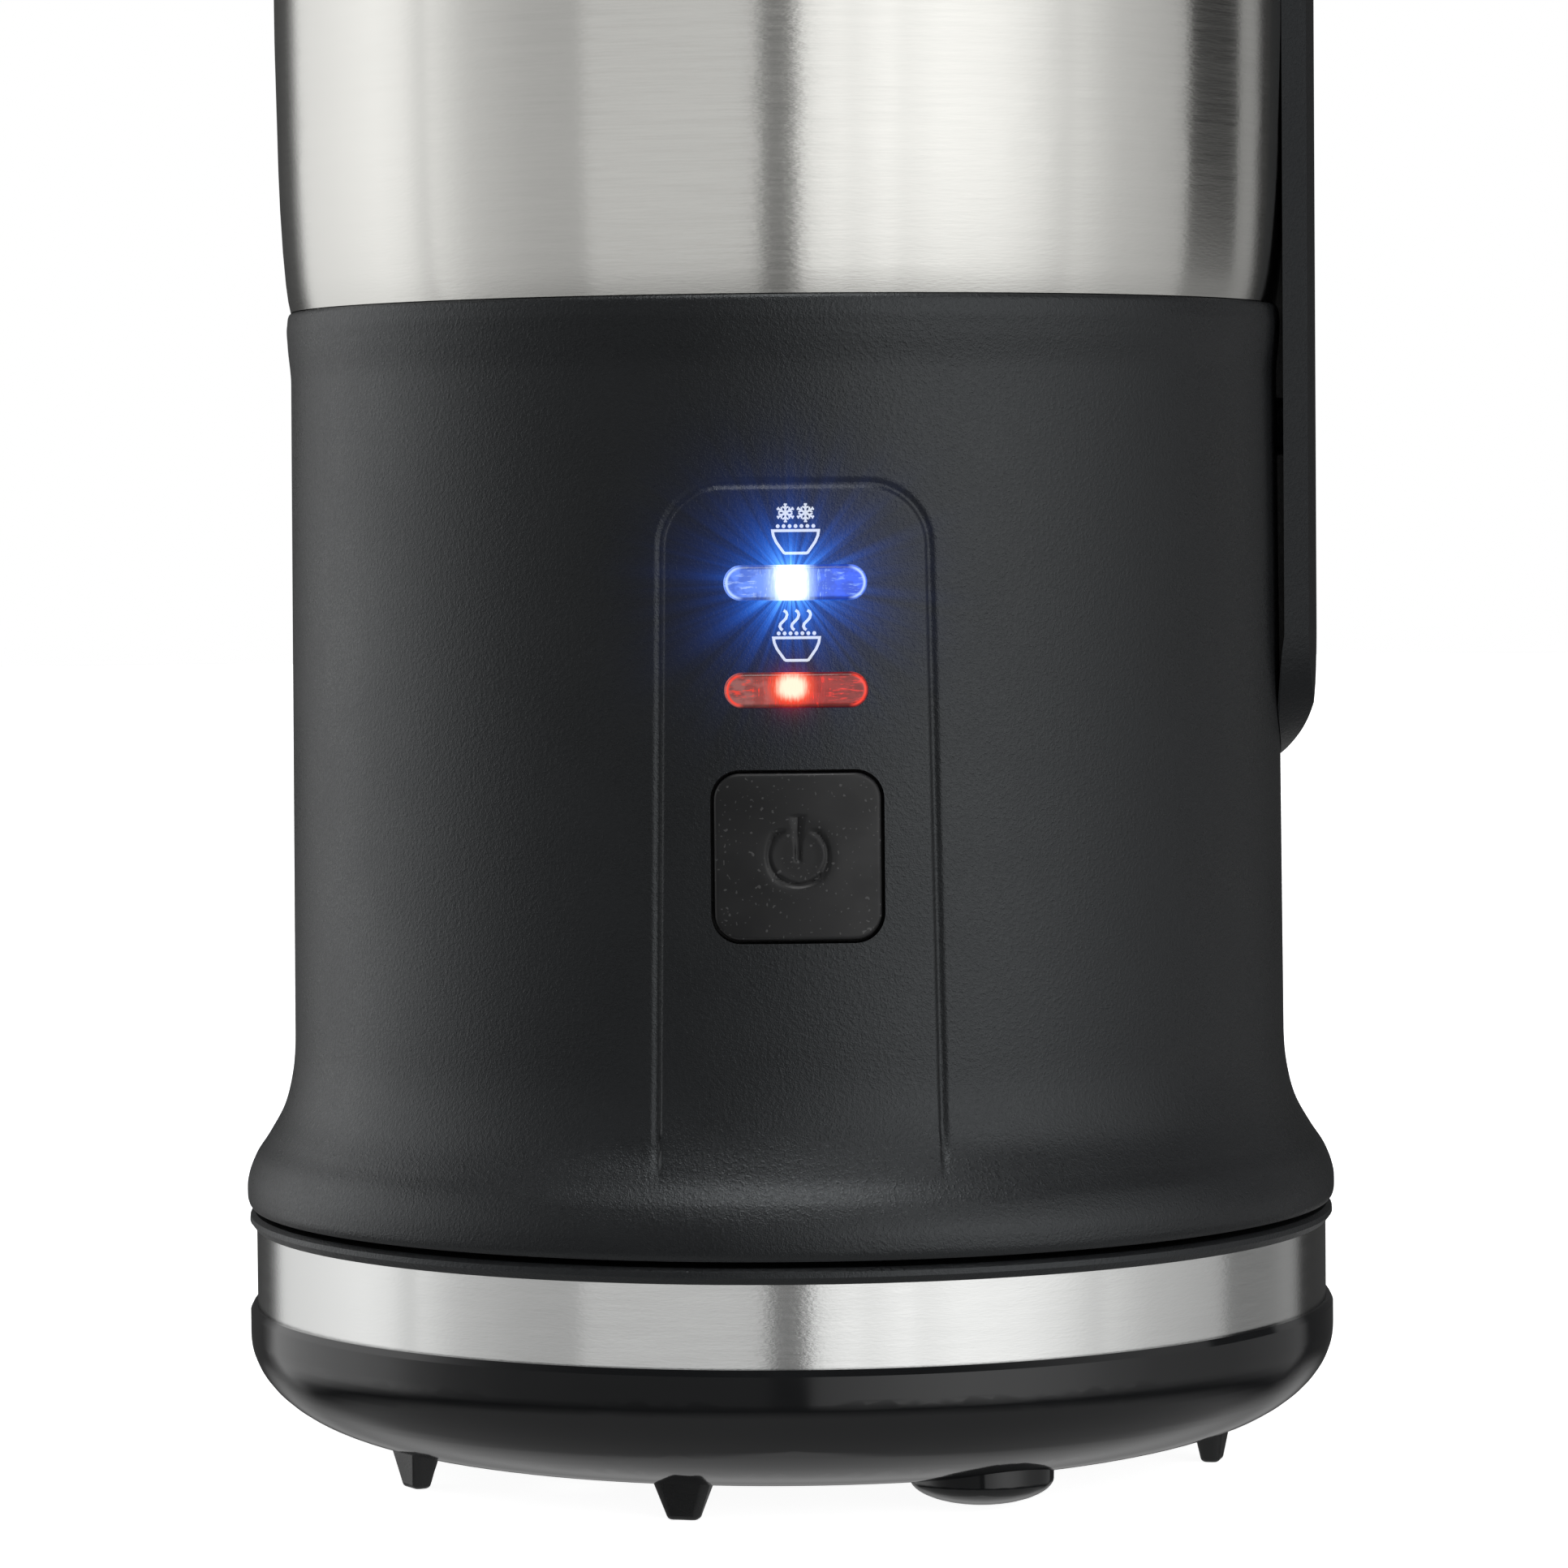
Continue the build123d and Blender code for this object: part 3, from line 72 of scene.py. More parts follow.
class Graph:
    """Short names for building one material's nodes. A value is a number or a socket."""

    def __init__(self, tree):
        self.tree = tree
        self.nodes = tree.nodes

    def put(self, socket, value):
        if isinstance(value, bpy.types.NodeSocket):
            self.tree.links.new(value, socket)
        else:
            socket.default_value = value

    def math(self, operation, *values):
        node = self.nodes.new("ShaderNodeMath")
        node.operation = operation
        for socket, value in zip(node.inputs, values):
            self.put(socket, value)
        return node.outputs[0]

    def add(self, a, b):
        return self.math("ADD", a, b)

    def mul(self, a, b):
        return self.math("MULTIPLY", a, b)

    def hypot(self, a, b):
        return self.math("SQRT", self.add(self.mul(a, a), self.mul(b, b)))

    def fade(self, distance, reach):
        """Falls from 1 at no distance to about a third at reach."""
        return self.math("POWER", math.e, self.mul(distance, -1 / reach))

    def place(self):
        return self.nodes.new("ShaderNodeTexCoord").outputs["Object"]

    def xyz(self, vector=None):
        node = self.nodes.new("ShaderNodeSeparateXYZ")
        self.put(node.inputs[0], vector or self.place())
        return node.outputs

    def band(self, value, rise_from, rise_to, fall_from, fall_to):
        """1 between rise_to and fall_from, and 0 outside rise_from and fall_to."""
        return self.mul(self.span(value, rise_from, rise_to), self.span(value, fall_from, fall_to, 1.0, 0.0))

    def vector(self, x, y, z):
        node = self.nodes.new("ShaderNodeCombineXYZ")
        for socket, value in zip(node.inputs, (x, y, z)):
            self.put(socket, value)
        return node.outputs[0]

    def noise(self, size, detail=2.0, rough=0.5, vector=None):
        """Noise whose lumps are about size (x, y, z) metres across."""
        mapping = self.nodes.new("ShaderNodeMapping")
        self.put(mapping.inputs["Vector"], vector or self.place())
        mapping.inputs["Scale"].default_value = [1 / s for s in size]
        node = self.nodes.new("ShaderNodeTexNoise")
        node.inputs["Scale"].default_value = 1.0
        node.inputs["Detail"].default_value = detail
        node.inputs["Roughness"].default_value = rough
        self.put(node.inputs["Vector"], mapping.outputs[0])
        return node.outputs[0]

    def span(self, value, low, high, out_low=0.0, out_high=1.0):
        """Goes smoothly from out_low to out_high as the value goes from low to high."""
        node = self.nodes.new("ShaderNodeMapRange")
        node.interpolation_type = "SMOOTHSTEP"
        for name, number in (("Value", value), ("From Min", low), ("From Max", high),
                             ("To Min", out_low), ("To Max", out_high)):
            self.put(node.inputs[name], number)
        return node.outputs[0]

    def mix(self, factor, a, b):
        node = self.nodes.new("ShaderNodeMix")
        node.data_type = "RGBA"
        self.put(node.inputs["Factor"], factor)
        self.put(node.inputs[MIX_A], a)
        self.put(node.inputs[MIX_B], b)
        return node.outputs[MIX_RESULT]

    def ramp(self, value, stops):
        """Greys at (position, grey) stops, with straight runs between them."""
        node = self.nodes.new("ShaderNodeValToRGB")
        self.put(node.inputs[0], value)
        elements = node.color_ramp.elements
        while len(elements) < len(stops):
            elements.new(0.5)
        for element, (position, grey) in zip(elements, stops):
            element.position = position
            element.color = (grey, grey, grey, 1)
        return node.outputs[0]

    def bump(self, height, distance):
        node = self.nodes.new("ShaderNodeBump")
        node.inputs["Strength"].default_value = 1.0
        node.inputs["Distance"].default_value = distance
        self.put(node.inputs["Height"], height)
        return node.outputs[0]


def shader(name, colour, roughness, **sockets):
    """A Principled material. Values that are the same all over are set on its own sockets."""
    material = bpy.data.materials.new(name)
    material.use_nodes = True
    graph = Graph(material.node_tree)
    bsdf = graph.nodes["Principled BSDF"]
    bsdf.inputs["Base Color"].default_value = (*colour, 1)
    bsdf.inputs["Roughness"].default_value = roughness
    for key, value in sockets.items():
        bsdf.inputs[key.replace("_", " ")].default_value = value
    return material, graph, bsdf


def tint(graph, bsdf, colour, value, spread=0.12):
    """Lets the base colour drift a little with a texture value."""
    dark = [c * (1 - spread) for c in colour]
    light = [c * (1 + spread) for c in colour]
    graph.put(bsdf.inputs["Base Color"], graph.mix(value, (*dark, 1), (*light, 1)))


def emit(graph, bsdf, colour):
    graph.put(bsdf.inputs["Emission Color"], colour)
    bsdf.inputs["Emission Strength"].default_value = 1.0


def cube(size):
    return (size, size, size)


# ---- light from the two indicator lamps, painted on the housing and print as emission --------
STAR_REACH, STAR_GAIN = 2.25, 2.3            # millimetres, strength
RED_HALO_REACH, RED_HALO_GAIN = 0.62, 1.6
GLOW_FROM_Y, GLOW_FULL_Y = -0.043, -0.0465   # metres


def lamp_distance(graph, lamp_z):
    """How far across, up and straight from a lamp a point is, in millimetres, and whether it is
    on the front of the housing, 0 to 1."""
    x, y, z = graph.xyz()
    across = graph.mul(graph.add(x, -LED_X), 1000)
    up = graph.mul(graph.add(z, -lamp_z), 1000)
    return across, up, graph.hypot(across, up), graph.span(y, GLOW_FROM_Y, GLOW_FULL_Y)


def painted_lamp_glow(graph):
    """The blue lamp's star and the red lamp's faint halo: painted light, as an emission colour."""
    across, up, length, front = lamp_distance(graph, BLUE_Z)
    safe = graph.math("MAXIMUM", length, 0.3)
    ray = graph.vector(graph.math("DIVIDE", across, safe), graph.math("DIVIDE", up, safe), 0.0)
    star = graph.noise(cube(0.16), 2.0, 0.6, vector=ray)
    star = graph.span(star, 0.3, 0.75, 0.6, 1.9)
    blue = graph.mul(graph.mul(graph.mul(graph.fade(length, STAR_REACH), STAR_GAIN), star), front)
    _, _, near, front = lamp_distance(graph, RED_Z)
    red = graph.mul(graph.mul(graph.fade(near, RED_HALO_REACH), RED_HALO_GAIN), front)
    node = graph.nodes.new("ShaderNodeCombineColor")
    core = graph.math("POWER", blue, 2.6)
    graph.put(node.inputs[0], graph.add(red, graph.mul(core, 0.05)))
    graph.put(node.inputs[1], graph.add(graph.mul(blue, 0.14), graph.mul(core, 0.12)))
    graph.put(node.inputs[2], graph.add(blue, graph.mul(red, 0.06)))
    return node.outputs[0]


# ---- materials ---------------------------------------------------------------------------
GRAIN_SIZE, GRAIN_DEPTH = 0.00034, 0.00006
DUST_SIZE = 0.0003


def matte_plastic(name, colour, roughness, glow=False, gloss=0.53):
    """Spark-eroded moulded plastic: a fine leathery grain that glitters where light rakes it."""
    material, graph, bsdf = shader(
        name, colour, roughness, Specular_IOR_Level=gloss, Specular_Tint=(0.92, 0.97, 1.0, 1.0))
    lumps = graph.noise(cube(GRAIN_SIZE), 3.0, 0.62)
    fine = graph.noise(cube(GRAIN_SIZE * 0.35), 1.0, 0.5)
    height = graph.add(lumps, graph.mul(fine, 0.5))
    graph.put(bsdf.inputs["Normal"], graph.bump(height, GRAIN_DEPTH))
    patches = graph.noise(cube(0.012), 3.0, 0.6)
    graph.put(bsdf.inputs["Roughness"], graph.add(
        graph.span(patches, 0.3, 0.7, roughness - 0.03, roughness + 0.03),
        graph.span(lumps, 0.35, 0.7, 0.05, -0.05)))
    tint(graph, bsdf, colour, patches)
    # with glow, the lamps' star and halo are painted on as emission
    if glow:
        emit(graph, bsdf, painted_lamp_glow(graph))
    return material


def smooth_plastic(name, colour, roughness, dust=0.0):
    """Polished or satin moulded plastic with faint handling marks and, with dust, pale specks."""
    material, graph, bsdf = shader(name, colour, roughness)
    smears = graph.noise((0.006, 0.006, 0.004), 4.0, 0.6)
    graph.put(bsdf.inputs["Roughness"], graph.span(smears, 0.35, 0.7, roughness * 0.85, roughness * 1.25))
    ripple = graph.noise(cube(0.009), 2.0, 0.4)
    graph.put(bsdf.inputs["Normal"], graph.bump(ripple, 0.00004))
    if dust:
        specks = graph.span(graph.noise(cube(DUST_SIZE), 0.0, 0.5), 0.74, 0.80)
        dusty = [c + dust for c in colour]
        graph.put(bsdf.inputs["Base Color"], graph.mix(specks, (*colour, 1), (*dusty, 1)))
    else:
        tint(graph, bsdf, colour, smears)
    return material


def brushed(name, colour, roughness=0.21, streak=(0.005, 0.005, 0.00008)):
    """Steel brushed round the jug's axis: light spreads up and down across the fine scratches."""
    material, graph, bsdf = shader(
        name, colour, roughness, Metallic=1.0, Anisotropic=0.9, Anisotropic_Rotation=0.25)
    lines = graph.noise(streak, 4.0, 0.7)
    coarse = graph.noise((streak[0] * 3, streak[1] * 3, streak[2] * 5), 2.0, 0.6)
    both = graph.add(graph.mul(lines, 0.65), graph.mul(coarse, 0.35))
    graph.put(bsdf.inputs["Roughness"], graph.span(both, 0.3, 0.7, roughness - 0.03, roughness + 0.05))
    grit = graph.noise((streak[0] * 0.18, streak[1] * 0.18, streak[2] * 2.5), 2.0, 0.6)
    graph.put(bsdf.inputs["Normal"], graph.bump(graph.add(grit, graph.mul(both, 0.05)), 0.000008))
    tint(graph, bsdf, colour, both, 0.045)
    tangent = graph.nodes.new("ShaderNodeTangent")
    tangent.direction_type = "RADIAL"
    tangent.axis = "Z"
    graph.put(bsdf.inputs["Tangent"], tangent.outputs[0])
    return material


def metal(name, colour, roughness):
    """Plain machined or plated metal with fine scratches and slight tarnish."""
    material, graph, bsdf = shader(name, colour, roughness, Metallic=1.0)
    marks = graph.noise((0.0004, 0.0024, 0.0004), 4.0, 0.65)
    stain = graph.noise(cube(0.004), 3.0, 0.6)
    graph.put(bsdf.inputs["Roughness"], graph.span(marks, 0.3, 0.7, roughness * 0.7, roughness * 1.3))
    graph.put(bsdf.inputs["Normal"], graph.bump(marks, 0.000004))
    tint(graph, bsdf, colour, stain)
    return material


def rubbery(name, colour, roughness, **sockets):
    """Soft or dull moulded material with a fine skin and broad smears."""
    material, graph, bsdf = shader(name, colour, roughness, **sockets)
    skin = graph.noise(cube(0.00025), 3.0, 0.6)
    smears = graph.noise(cube(0.005), 3.0, 0.6)
    graph.put(bsdf.inputs["Normal"], graph.bump(skin, 0.000012))
    graph.put(bsdf.inputs["Roughness"], graph.span(smears, 0.3, 0.7, roughness * 0.85, roughness * 1.15))
    tint(graph, bsdf, colour, smears)
    return material


def clear_plastic(name):
    """The lid: clear hard plastic with faint moulding ripples and smears."""
    material, graph, bsdf = shader(
        name, (0.93, 0.95, 0.95), 0.05, Transmission_Weight=1.0, IOR=1.49)
    ripple = graph.noise(cube(0.011), 2.0, 0.5)
    smears = graph.noise((0.004, 0.007, 0.004), 4.0, 0.6)
    graph.put(bsdf.inputs["Normal"], graph.bump(ripple, 0.00003))
    graph.put(bsdf.inputs["Roughness"], graph.span(smears, 0.35, 0.75, 0.03, 0.12))
    return material


def circuit_board(name):
    """Green solder mask with the tracks under it showing as paler lines."""
    colour = (0.012, 0.10, 0.035)
    material, graph, bsdf = shader(name, colour, 0.35)
    tracks = graph.nodes.new("ShaderNodeTexBrick")
    graph.put(tracks.inputs["Vector"], graph.place())
    tracks.inputs["Scale"].default_value = 260
    tracks.inputs["Mortar Size"].default_value = 0.03
    for key, grey in (("Color1", 0.0), ("Color2", 0.1), ("Mortar", 1.0)):
        tracks.inputs[key].default_value = (grey, grey, grey, 1)
    paler = graph.mix(tracks.outputs["Fac"], (*colour, 1), (0.03, 0.2, 0.07, 1))
    graph.put(bsdf.inputs["Base Color"], paler)
    graph.put(bsdf.inputs["Normal"], graph.bump(tracks.outputs["Fac"], 0.00003))
    return material


# millimetres from the lamp, or from the centre of a bar's round end
LENS_HALO_REACH = 1.5
LENS_END_CENTRE, LENS_END_FROM, LENS_END_TO = 4.85, 4.6, 5.6
CORE_ROUNDNESS = 2.4    # 2 is an ellipse, and more is squarer


def lamp_lens(name, lamp_z, body, glint, hot, edge, core_size, core_rise=0.0):
    """A ribbed light bar: a burnt-out core over the lamp, painted glints in the ribs, painted highlights on
    the round ends.
    body and glint are (left, right) colours; core_size is (half width, half height) in mm."""
    material, graph, bsdf = shader(name, [c * 0.2 for c in body[1]], 0.12)
    across, up, length, _ = lamp_distance(graph, lamp_z)
    # painted glints run up and down near the lamp, and along the bar further out
    ribs = graph.noise((0.00016, 0.0008, 0.0011), 3.0, 0.65)
    runs = graph.noise((0.0013, 0.0008, 0.00022), 3.0, 0.65)
    texture = graph.mix(graph.span(graph.math("ABSOLUTE", across), 2.2, 4.2), ribs, runs)
    sparkle = graph.span(texture, 0.52, 0.7)
    blotch = graph.noise((0.0011, 0.001, 0.0009), 2.0, 0.5)
    right = graph.span(across, -2.4, -0.6)
    base = graph.mix(right, (*body[0], 1), (*body[1], 1))
    base = graph.mix(graph.span(blotch, 0.38, 0.6, 0.5, 0.0), base, (*[c * 0.3 for c in body[1]], 1))
    shine = graph.mix(right, (*glint[0], 1), (*glint[1], 1))
    halo = graph.fade(length, LENS_HALO_REACH)
    lit = graph.math("MINIMUM", graph.add(graph.mul(halo, 1.1), graph.mul(sparkle, 0.78)), 1.0)
    colour = graph.mix(lit, base, shine)
    # the rim gets painted shade along the sides, and a painted highlight where it turns round the ends
    side = graph.math("ABSOLUTE", graph.add(across, LED_X * 1000))
    past = graph.math("MAXIMUM", graph.add(side, -LENS_END_CENTRE), 0.0)
    out = graph.hypot(past, up)
    rim = graph.span(out, 1.15, 1.36)
    painted_side_shade = graph.span(side, LENS_END_FROM, LENS_END_TO, 0.75, 0.0)
    painted_end_highlight = graph.mul(graph.span(side, LENS_END_FROM, LENS_END_TO), graph.span(out, 1.38, 1.52, 1.0, 0.15))
    colour = graph.mix(graph.mul(rim, painted_side_shade), colour, (*[c * 0.12 for c in body[1]], 1))
    colour = graph.mix(graph.mul(rim, painted_end_highlight), colour, (*glint[0], 1))
    # the core's size round the lamp, 1 at its edge
    wide = graph.mul(graph.math("ABSOLUTE", across), 1 / core_size[0])
    tall = graph.mul(graph.math("ABSOLUTE", graph.add(up, -core_rise)), 1 / core_size[1])
    both = graph.add(graph.math("POWER", wide, CORE_ROUNDNESS), graph.math("POWER", tall, CORE_ROUNDNESS))
    core = graph.math("POWER", both, 1 / CORE_ROUNDNESS)
    core = graph.add(core, graph.span(texture, 0.3, 0.7, -0.08, 0.08))
    colour = graph.mix(graph.span(core, 0.85, 1.75, 0.95, 0.0), colour, (*edge, 1))
    colour = graph.mix(graph.span(core, 0.5, 1.25, 1.0, 0.0), colour, (*hot, 1))
    emit(graph, bsdf, colour)
    graph.put(bsdf.inputs["Normal"], graph.bump(texture, 0.00002))
    return material


def print_ink(name):
    """White pad print with an even painted glow, and the lamp's blue star painted on it as emission."""
    colour = (0.62, 0.65, 0.69)
    material, graph, bsdf = shader(name, colour, 0.6)
    wear = graph.noise(cube(0.0004), 3.0, 0.6)
    tint(graph, bsdf, colour, wear, 0.08)
    graph.put(bsdf.inputs["Normal"], graph.bump(wear, 0.000008))
    # painted light: the lamp's star plus an even glow, as the ink's emission
    lift = graph.nodes.new("ShaderNodeVectorMath")
    lift.operation = "ADD"
    graph.put(lift.inputs[0], painted_lamp_glow(graph))
    lift.inputs[1].default_value = (0.33, 0.36, 0.40)
    emit(graph, bsdf, lift.outputs[0])
    return material


MATTE_BLACK = (0.0115, 0.0121, 0.0132)
MATERIALS = {
    "gloss_black": smooth_plastic("gloss_black_plastic", (0.0105, 0.011, 0.0118), 0.09),
    "matte_black": matte_plastic("matte_black_plastic", MATTE_BLACK, 0.34),
    # the housing carries the lamps' painted star and halo
    "housing_black": matte_plastic("housing_black_plastic", MATTE_BLACK, 0.31, glow=True),
    "grip_black": matte_plastic("grip_black_plastic", (0.0105, 0.011, 0.012), 0.36, gloss=0.24),
    "print_white": print_ink("print_white"),
    "button_black": smooth_plastic("button_black_plastic", (0.0095, 0.0097, 0.0105), 0.42, dust=0.06),
    "feet_black": rubbery("feet_black_plastic", (0.014, 0.0145, 0.015), 0.28),
    "bush_rubber": rubbery("bush_rubber", (0.012, 0.012, 0.012), 0.6),
    "jug_steel": brushed("jug_brushed_steel", (0.66, 0.655, 0.625)),
    "band_steel": brushed("band_brushed_steel", (0.68, 0.685, 0.675), 0.2, streak=(0.003, 0.003, 0.00007)),
    "connector_nylon": rubbery("connector_nylon", (0.02, 0.02, 0.021), 0.5),
    "contact_brass": metal("contact_brass", (0.82, 0.58, 0.25), 0.28),
    "screw_steel": metal("screw_steel", (0.55, 0.55, 0.54), 0.35),
    "spring_steel": metal("spring_steel", (0.6, 0.6, 0.59), 0.25),
    "pot_coating": rubbery("pot_coating", (0.030, 0.030, 0.031), 0.38, Specular_IOR_Level=0.6),
    "pivot_steel": metal("pivot_steel", (0.7, 0.7, 0.69), 0.15),
    "clear_silicone": rubbery("clear_silicone", (0.75, 0.76, 0.75), 0.45, Subsurface_Weight=0.2),
    "plate_aluminium": metal("plate_aluminium", (0.78, 0.78, 0.79), 0.35),
    "heater_steel": metal("heater_steel", (0.45, 0.43, 0.41), 0.4),
    "lead_sleeve": rubbery("lead_sleeve", (0.6, 0.58, 0.55), 0.6),
    "motor_steel": metal("motor_steel", (0.6, 0.6, 0.6), 0.3),
    "inner_plastic": rubbery("inner_plastic", (0.05, 0.05, 0.052), 0.5),
    "magnet_nickel": metal("magnet_nickel", (0.72, 0.70, 0.66), 0.12),
    "board_green": circuit_board("board_green"),
    "part_black": rubbery("part_black", (0.02, 0.02, 0.02), 0.4),
    "part_blue": rubbery("part_blue", (0.02, 0.07, 0.3), 0.35),
    "white_plastic": rubbery("white_plastic", (0.75, 0.75, 0.73), 0.4),
    "blue_light": rubbery(
        "blue_light", (0.6, 0.7, 1.0), 0.15, Emission_Color=(0.2, 0.4, 1, 1), Emission_Strength=3.0),
    "red_light": rubbery(
        "red_light", (1.0, 0.6, 0.5), 0.15, Emission_Color=(1, 0.15, 0.1, 1), Emission_Strength=3.0),
    "blue_window": lamp_lens(
        "blue_window", BLUE_Z, body=((0.13, 0.27, 0.95), (0.035, 0.12, 0.95)),
        glint=((0.52, 0.70, 1.0), (0.32, 0.52, 1.0)), hot=(1.8, 1.9, 2.0), edge=(0.55, 0.75, 1.0),
        core_size=(1.5, 2.1)),
    "red_window": lamp_lens(
        "red_window", RED_Z, body=((0.26, 0.12, 0.115), (0.24, 0.035, 0.032)),
        glint=((1.0, 0.06, 0.035), (1.0, 0.04, 0.03)), hot=(1.3, 0.95, 0.72), edge=(1.0, 0.09, 0.03),
        core_size=(1.42, 1.15), core_rise=0.28),
    "whisk_black": smooth_plastic("whisk_black", (0.014, 0.014, 0.015), 0.3),
    "whisk_wire": metal("whisk_wire", (0.66, 0.66, 0.65), 0.18),
    "lid_clear": clear_plastic("lid_clear"),
}
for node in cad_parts.values():
    slots = node.data.materials
    for i, old in enumerate(list(slots)):
        slots[i] = MATERIALS[old.name.split(".")[0]]
# the grip's outer strip is duller than the other matte parts
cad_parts["grip_spine"].data.materials[0] = MATERIALS["grip_black"]


# ---- shaping helpers -----------------------------------------------------------------------
SHARP_ANGLE = 35    # degrees: edges sharper than this stay crisp


def smoothstep(value, low, high):
    t = min(max((value - low) / (high - low), 0.0), 1.0)
    return t * t * (3 - 2 * t)


def curve(points, start, end, steps=10):
    """A smooth line through (radius, height) points, with set directions at its two ends."""
    vectors = [Vector(p) for p in points]
    slopes = []
    for i, here in enumerate(vectors):
        if i == 0:
            slopes.append(Vector(start).normalized())
        elif i == len(vectors) - 1:
            slopes.append(Vector(end).normalized())
        else:
            before = here - vectors[i - 1]
            after = vectors[i + 1] - here
            mean = before.normalized() * after.length + after.normalized() * before.length
            slopes.append(mean.normalized())
    line = [vectors[0]]
    for a, b, da, db in zip(vectors, vectors[1:], slopes, slopes[1:]):
        run = (b - a).length
        for k in range(1, steps + 1):
            t = k / steps
            line.append(a * (2 * t ** 3 - 3 * t ** 2 + 1) + da * run * (t ** 3 - 2 * t ** 2 + t)
                        + b * (3 * t ** 2 - 2 * t ** 3) + db * run * (t ** 3 - t ** 2))
    return [tuple(v) for v in line]


def straight(a, b, pitch):
    """Points from just after a up to b, about a pitch apart."""
    count = max(1, round((Vector(b) - Vector(a)).length / pitch))
    return [tuple(Vector(a).lerp(Vector(b), k / count)) for k in range(1, count + 1)]


def piece(name, mesh, material, body=None, replaced=(), sharp=SHARP_ANGLE):
    """Turns a bmesh in millimetres into a piece that rides on a body. A tool for cutting has no body."""
    for v in mesh.verts:
        v.co *= MM
    bmesh.ops.recalc_face_normals(mesh, faces=mesh.faces)
    data = bpy.data.meshes.new(name)
    mesh.to_mesh(data)
    mesh.free()
    data.polygons.foreach_set("use_smooth", [True] * len(data.polygons))
    data.set_sharp_from_angle(angle=math.radians(sharp))
    data.materials.append(MATERIALS[material])
    item = bpy.data.objects.new(name, data)
    SCENE.collection.objects.link(item)
    if body:
        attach(item, body)
    if replaced:
        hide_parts(*replaced)
    return item


def stack(mesh, loops):
    """Skins a row of loops that all have the same number of points, and closes both ends."""
    rows = [[mesh.verts.new(p) for p in loop] for loop in loops]
    for low, high in zip(rows, rows[1:]):
        for i in range(len(low)):
            j = (i + 1) % len(low)
            mesh.faces.new((low[i], low[j], high[j], high[i]))
    for row in (rows[0], rows[-1]):
        centre = mesh.verts.new(sum((v.co for v in row), Vector()) / len(row))
        for i in range(len(row)):
            mesh.faces.new((row[i], row[(i + 1) % len(row)], centre))


def revolve(mesh, profile, angles, shape):
    """Turns a closed (radius, height) profile about the axis.
    shape(radius, x, z, angle) gives the radius that a point really has."""
    rows = []
    for angle in angles:
        ring = []
        for radius, height in profile:
            r = shape(radius, radius * math.sin(angle), height, angle)
            ring.append(mesh.verts.new((r * math.sin(angle), -r * math.cos(angle), height)))
        rows.append(ring)
    for i in range(len(rows)):
        here, there = rows[i], rows[(i + 1) % len(rows)]
        for k in range(len(profile)):
            n = (k + 1) % len(profile)
            mesh.faces.new((here[k], here[n], there[n], there[k]))


# ---- jug housing with the control panel --------------------------------------------------
PANEL_TOP, PANEL_LOW, PANEL_CORNER = 94.5, 30.0, 5.3
PANEL_TOP_HALF, PANEL_LOW_HALF = 11.75, 12.75
PANEL_FIRST_Z, PANEL_LAST_Z, PANEL_BACK_R = 31.0, 96.5, 47.9    # where the relief may act
PANEL_STEP = 0.12
GROOVE_DEPTH, GROOVE_HALF, GROOVE_OUTSIDE = 0.24, 0.6, 0.3
GROOVE_FADE_Z = 31.8, 37.0
HOUSING_FOOT, HOUSING_LIP, SPIGOT_TOP, COVER_TOP = 25.2, 111.8, 118.0, 27.8
RIM = (53.25, 26.9)
WALL_LOW, WALL_FINE, WALL_TOP = (48.4, 43.7), (48.05, 88.0), (48.0, 105.0)
DRAFT = (-0.006, 1)    # the wall's direction: it leans in a little
panel_profile = curve([(51.5, 31.3), (50.15, 33.9), (48.95, 37.6), (48.5, 44.7)], (-0.75, 1), DRAFT)
panel_profile += [(48.16, 95.5)]


def panel_radius(height):
    """The radius of the panel's face at a height, and 0 above and below it."""
    for low, high in zip(panel_profile, panel_profile[1:]):
        if low[1] <= height <= high[1]:
            t = (height - low[1]) / (high[1] - low[1])
            return low[0] + (high[0] - low[0]) * t
    return 0.0


def panel_distance(x, z):
    """How far outside the panel's outline a point is, negative inside."""
    t = (z - PANEL_LOW) / (PANEL_TOP - PANEL_LOW)
    half = PANEL_LOW_HALF + (PANEL_TOP_HALF - PANEL_LOW_HALF) * t
    corner_x, corner_z = abs(x) - (half - PANEL_CORNER), z - (PANEL_TOP - PANEL_CORNER)
    if corner_x > 0 and corner_z > 0:
        return math.hypot(corner_x, corner_z) - PANEL_CORNER
    return max(abs(x) - half, z - PANEL_TOP)


def housing_relief(radius, x, z, angle):
    """The panel's face inside its outline and the soft groove round it."""
    at_front = math.cos(angle) >= 0.9
    if not at_front or not PANEL_FIRST_Z < z < PANEL_LAST_Z or radius < PANEL_BACK_R:
        return radius
    away = panel_distance(x, z)
    inside = smoothstep(away, PANEL_STEP, -PANEL_STEP)
    radius += (max(radius, panel_radius(z)) - radius) * inside
    off = abs(away - GROOVE_OUTSIDE) / GROOVE_HALF
    if off < 1:
        radius -= GROOVE_DEPTH * smoothstep(z, *GROOVE_FADE_Z) * (0.5 + 0.5 * math.cos(math.pi * off))
    return radius


def span_steps(edges):
    """Values over (from, to, pitch) stretches."""
    values = []
    for low, high, pitch in edges:
        count = max(1, round((high - low) / pitch))
        values += [low + (high - low) * k / count for k in range(count)]
    return values


hem_line = curve([(52.9, HOUSING_FOOT), RIM], (1, 1), (0, 1), 5)
flare_line = curve(
    [RIM, (52.45, 29.8), (51.1, 31.9), (49.5, 34.85), (48.72, 37.9), WALL_LOW], (0, 1), DRAFT, 14)
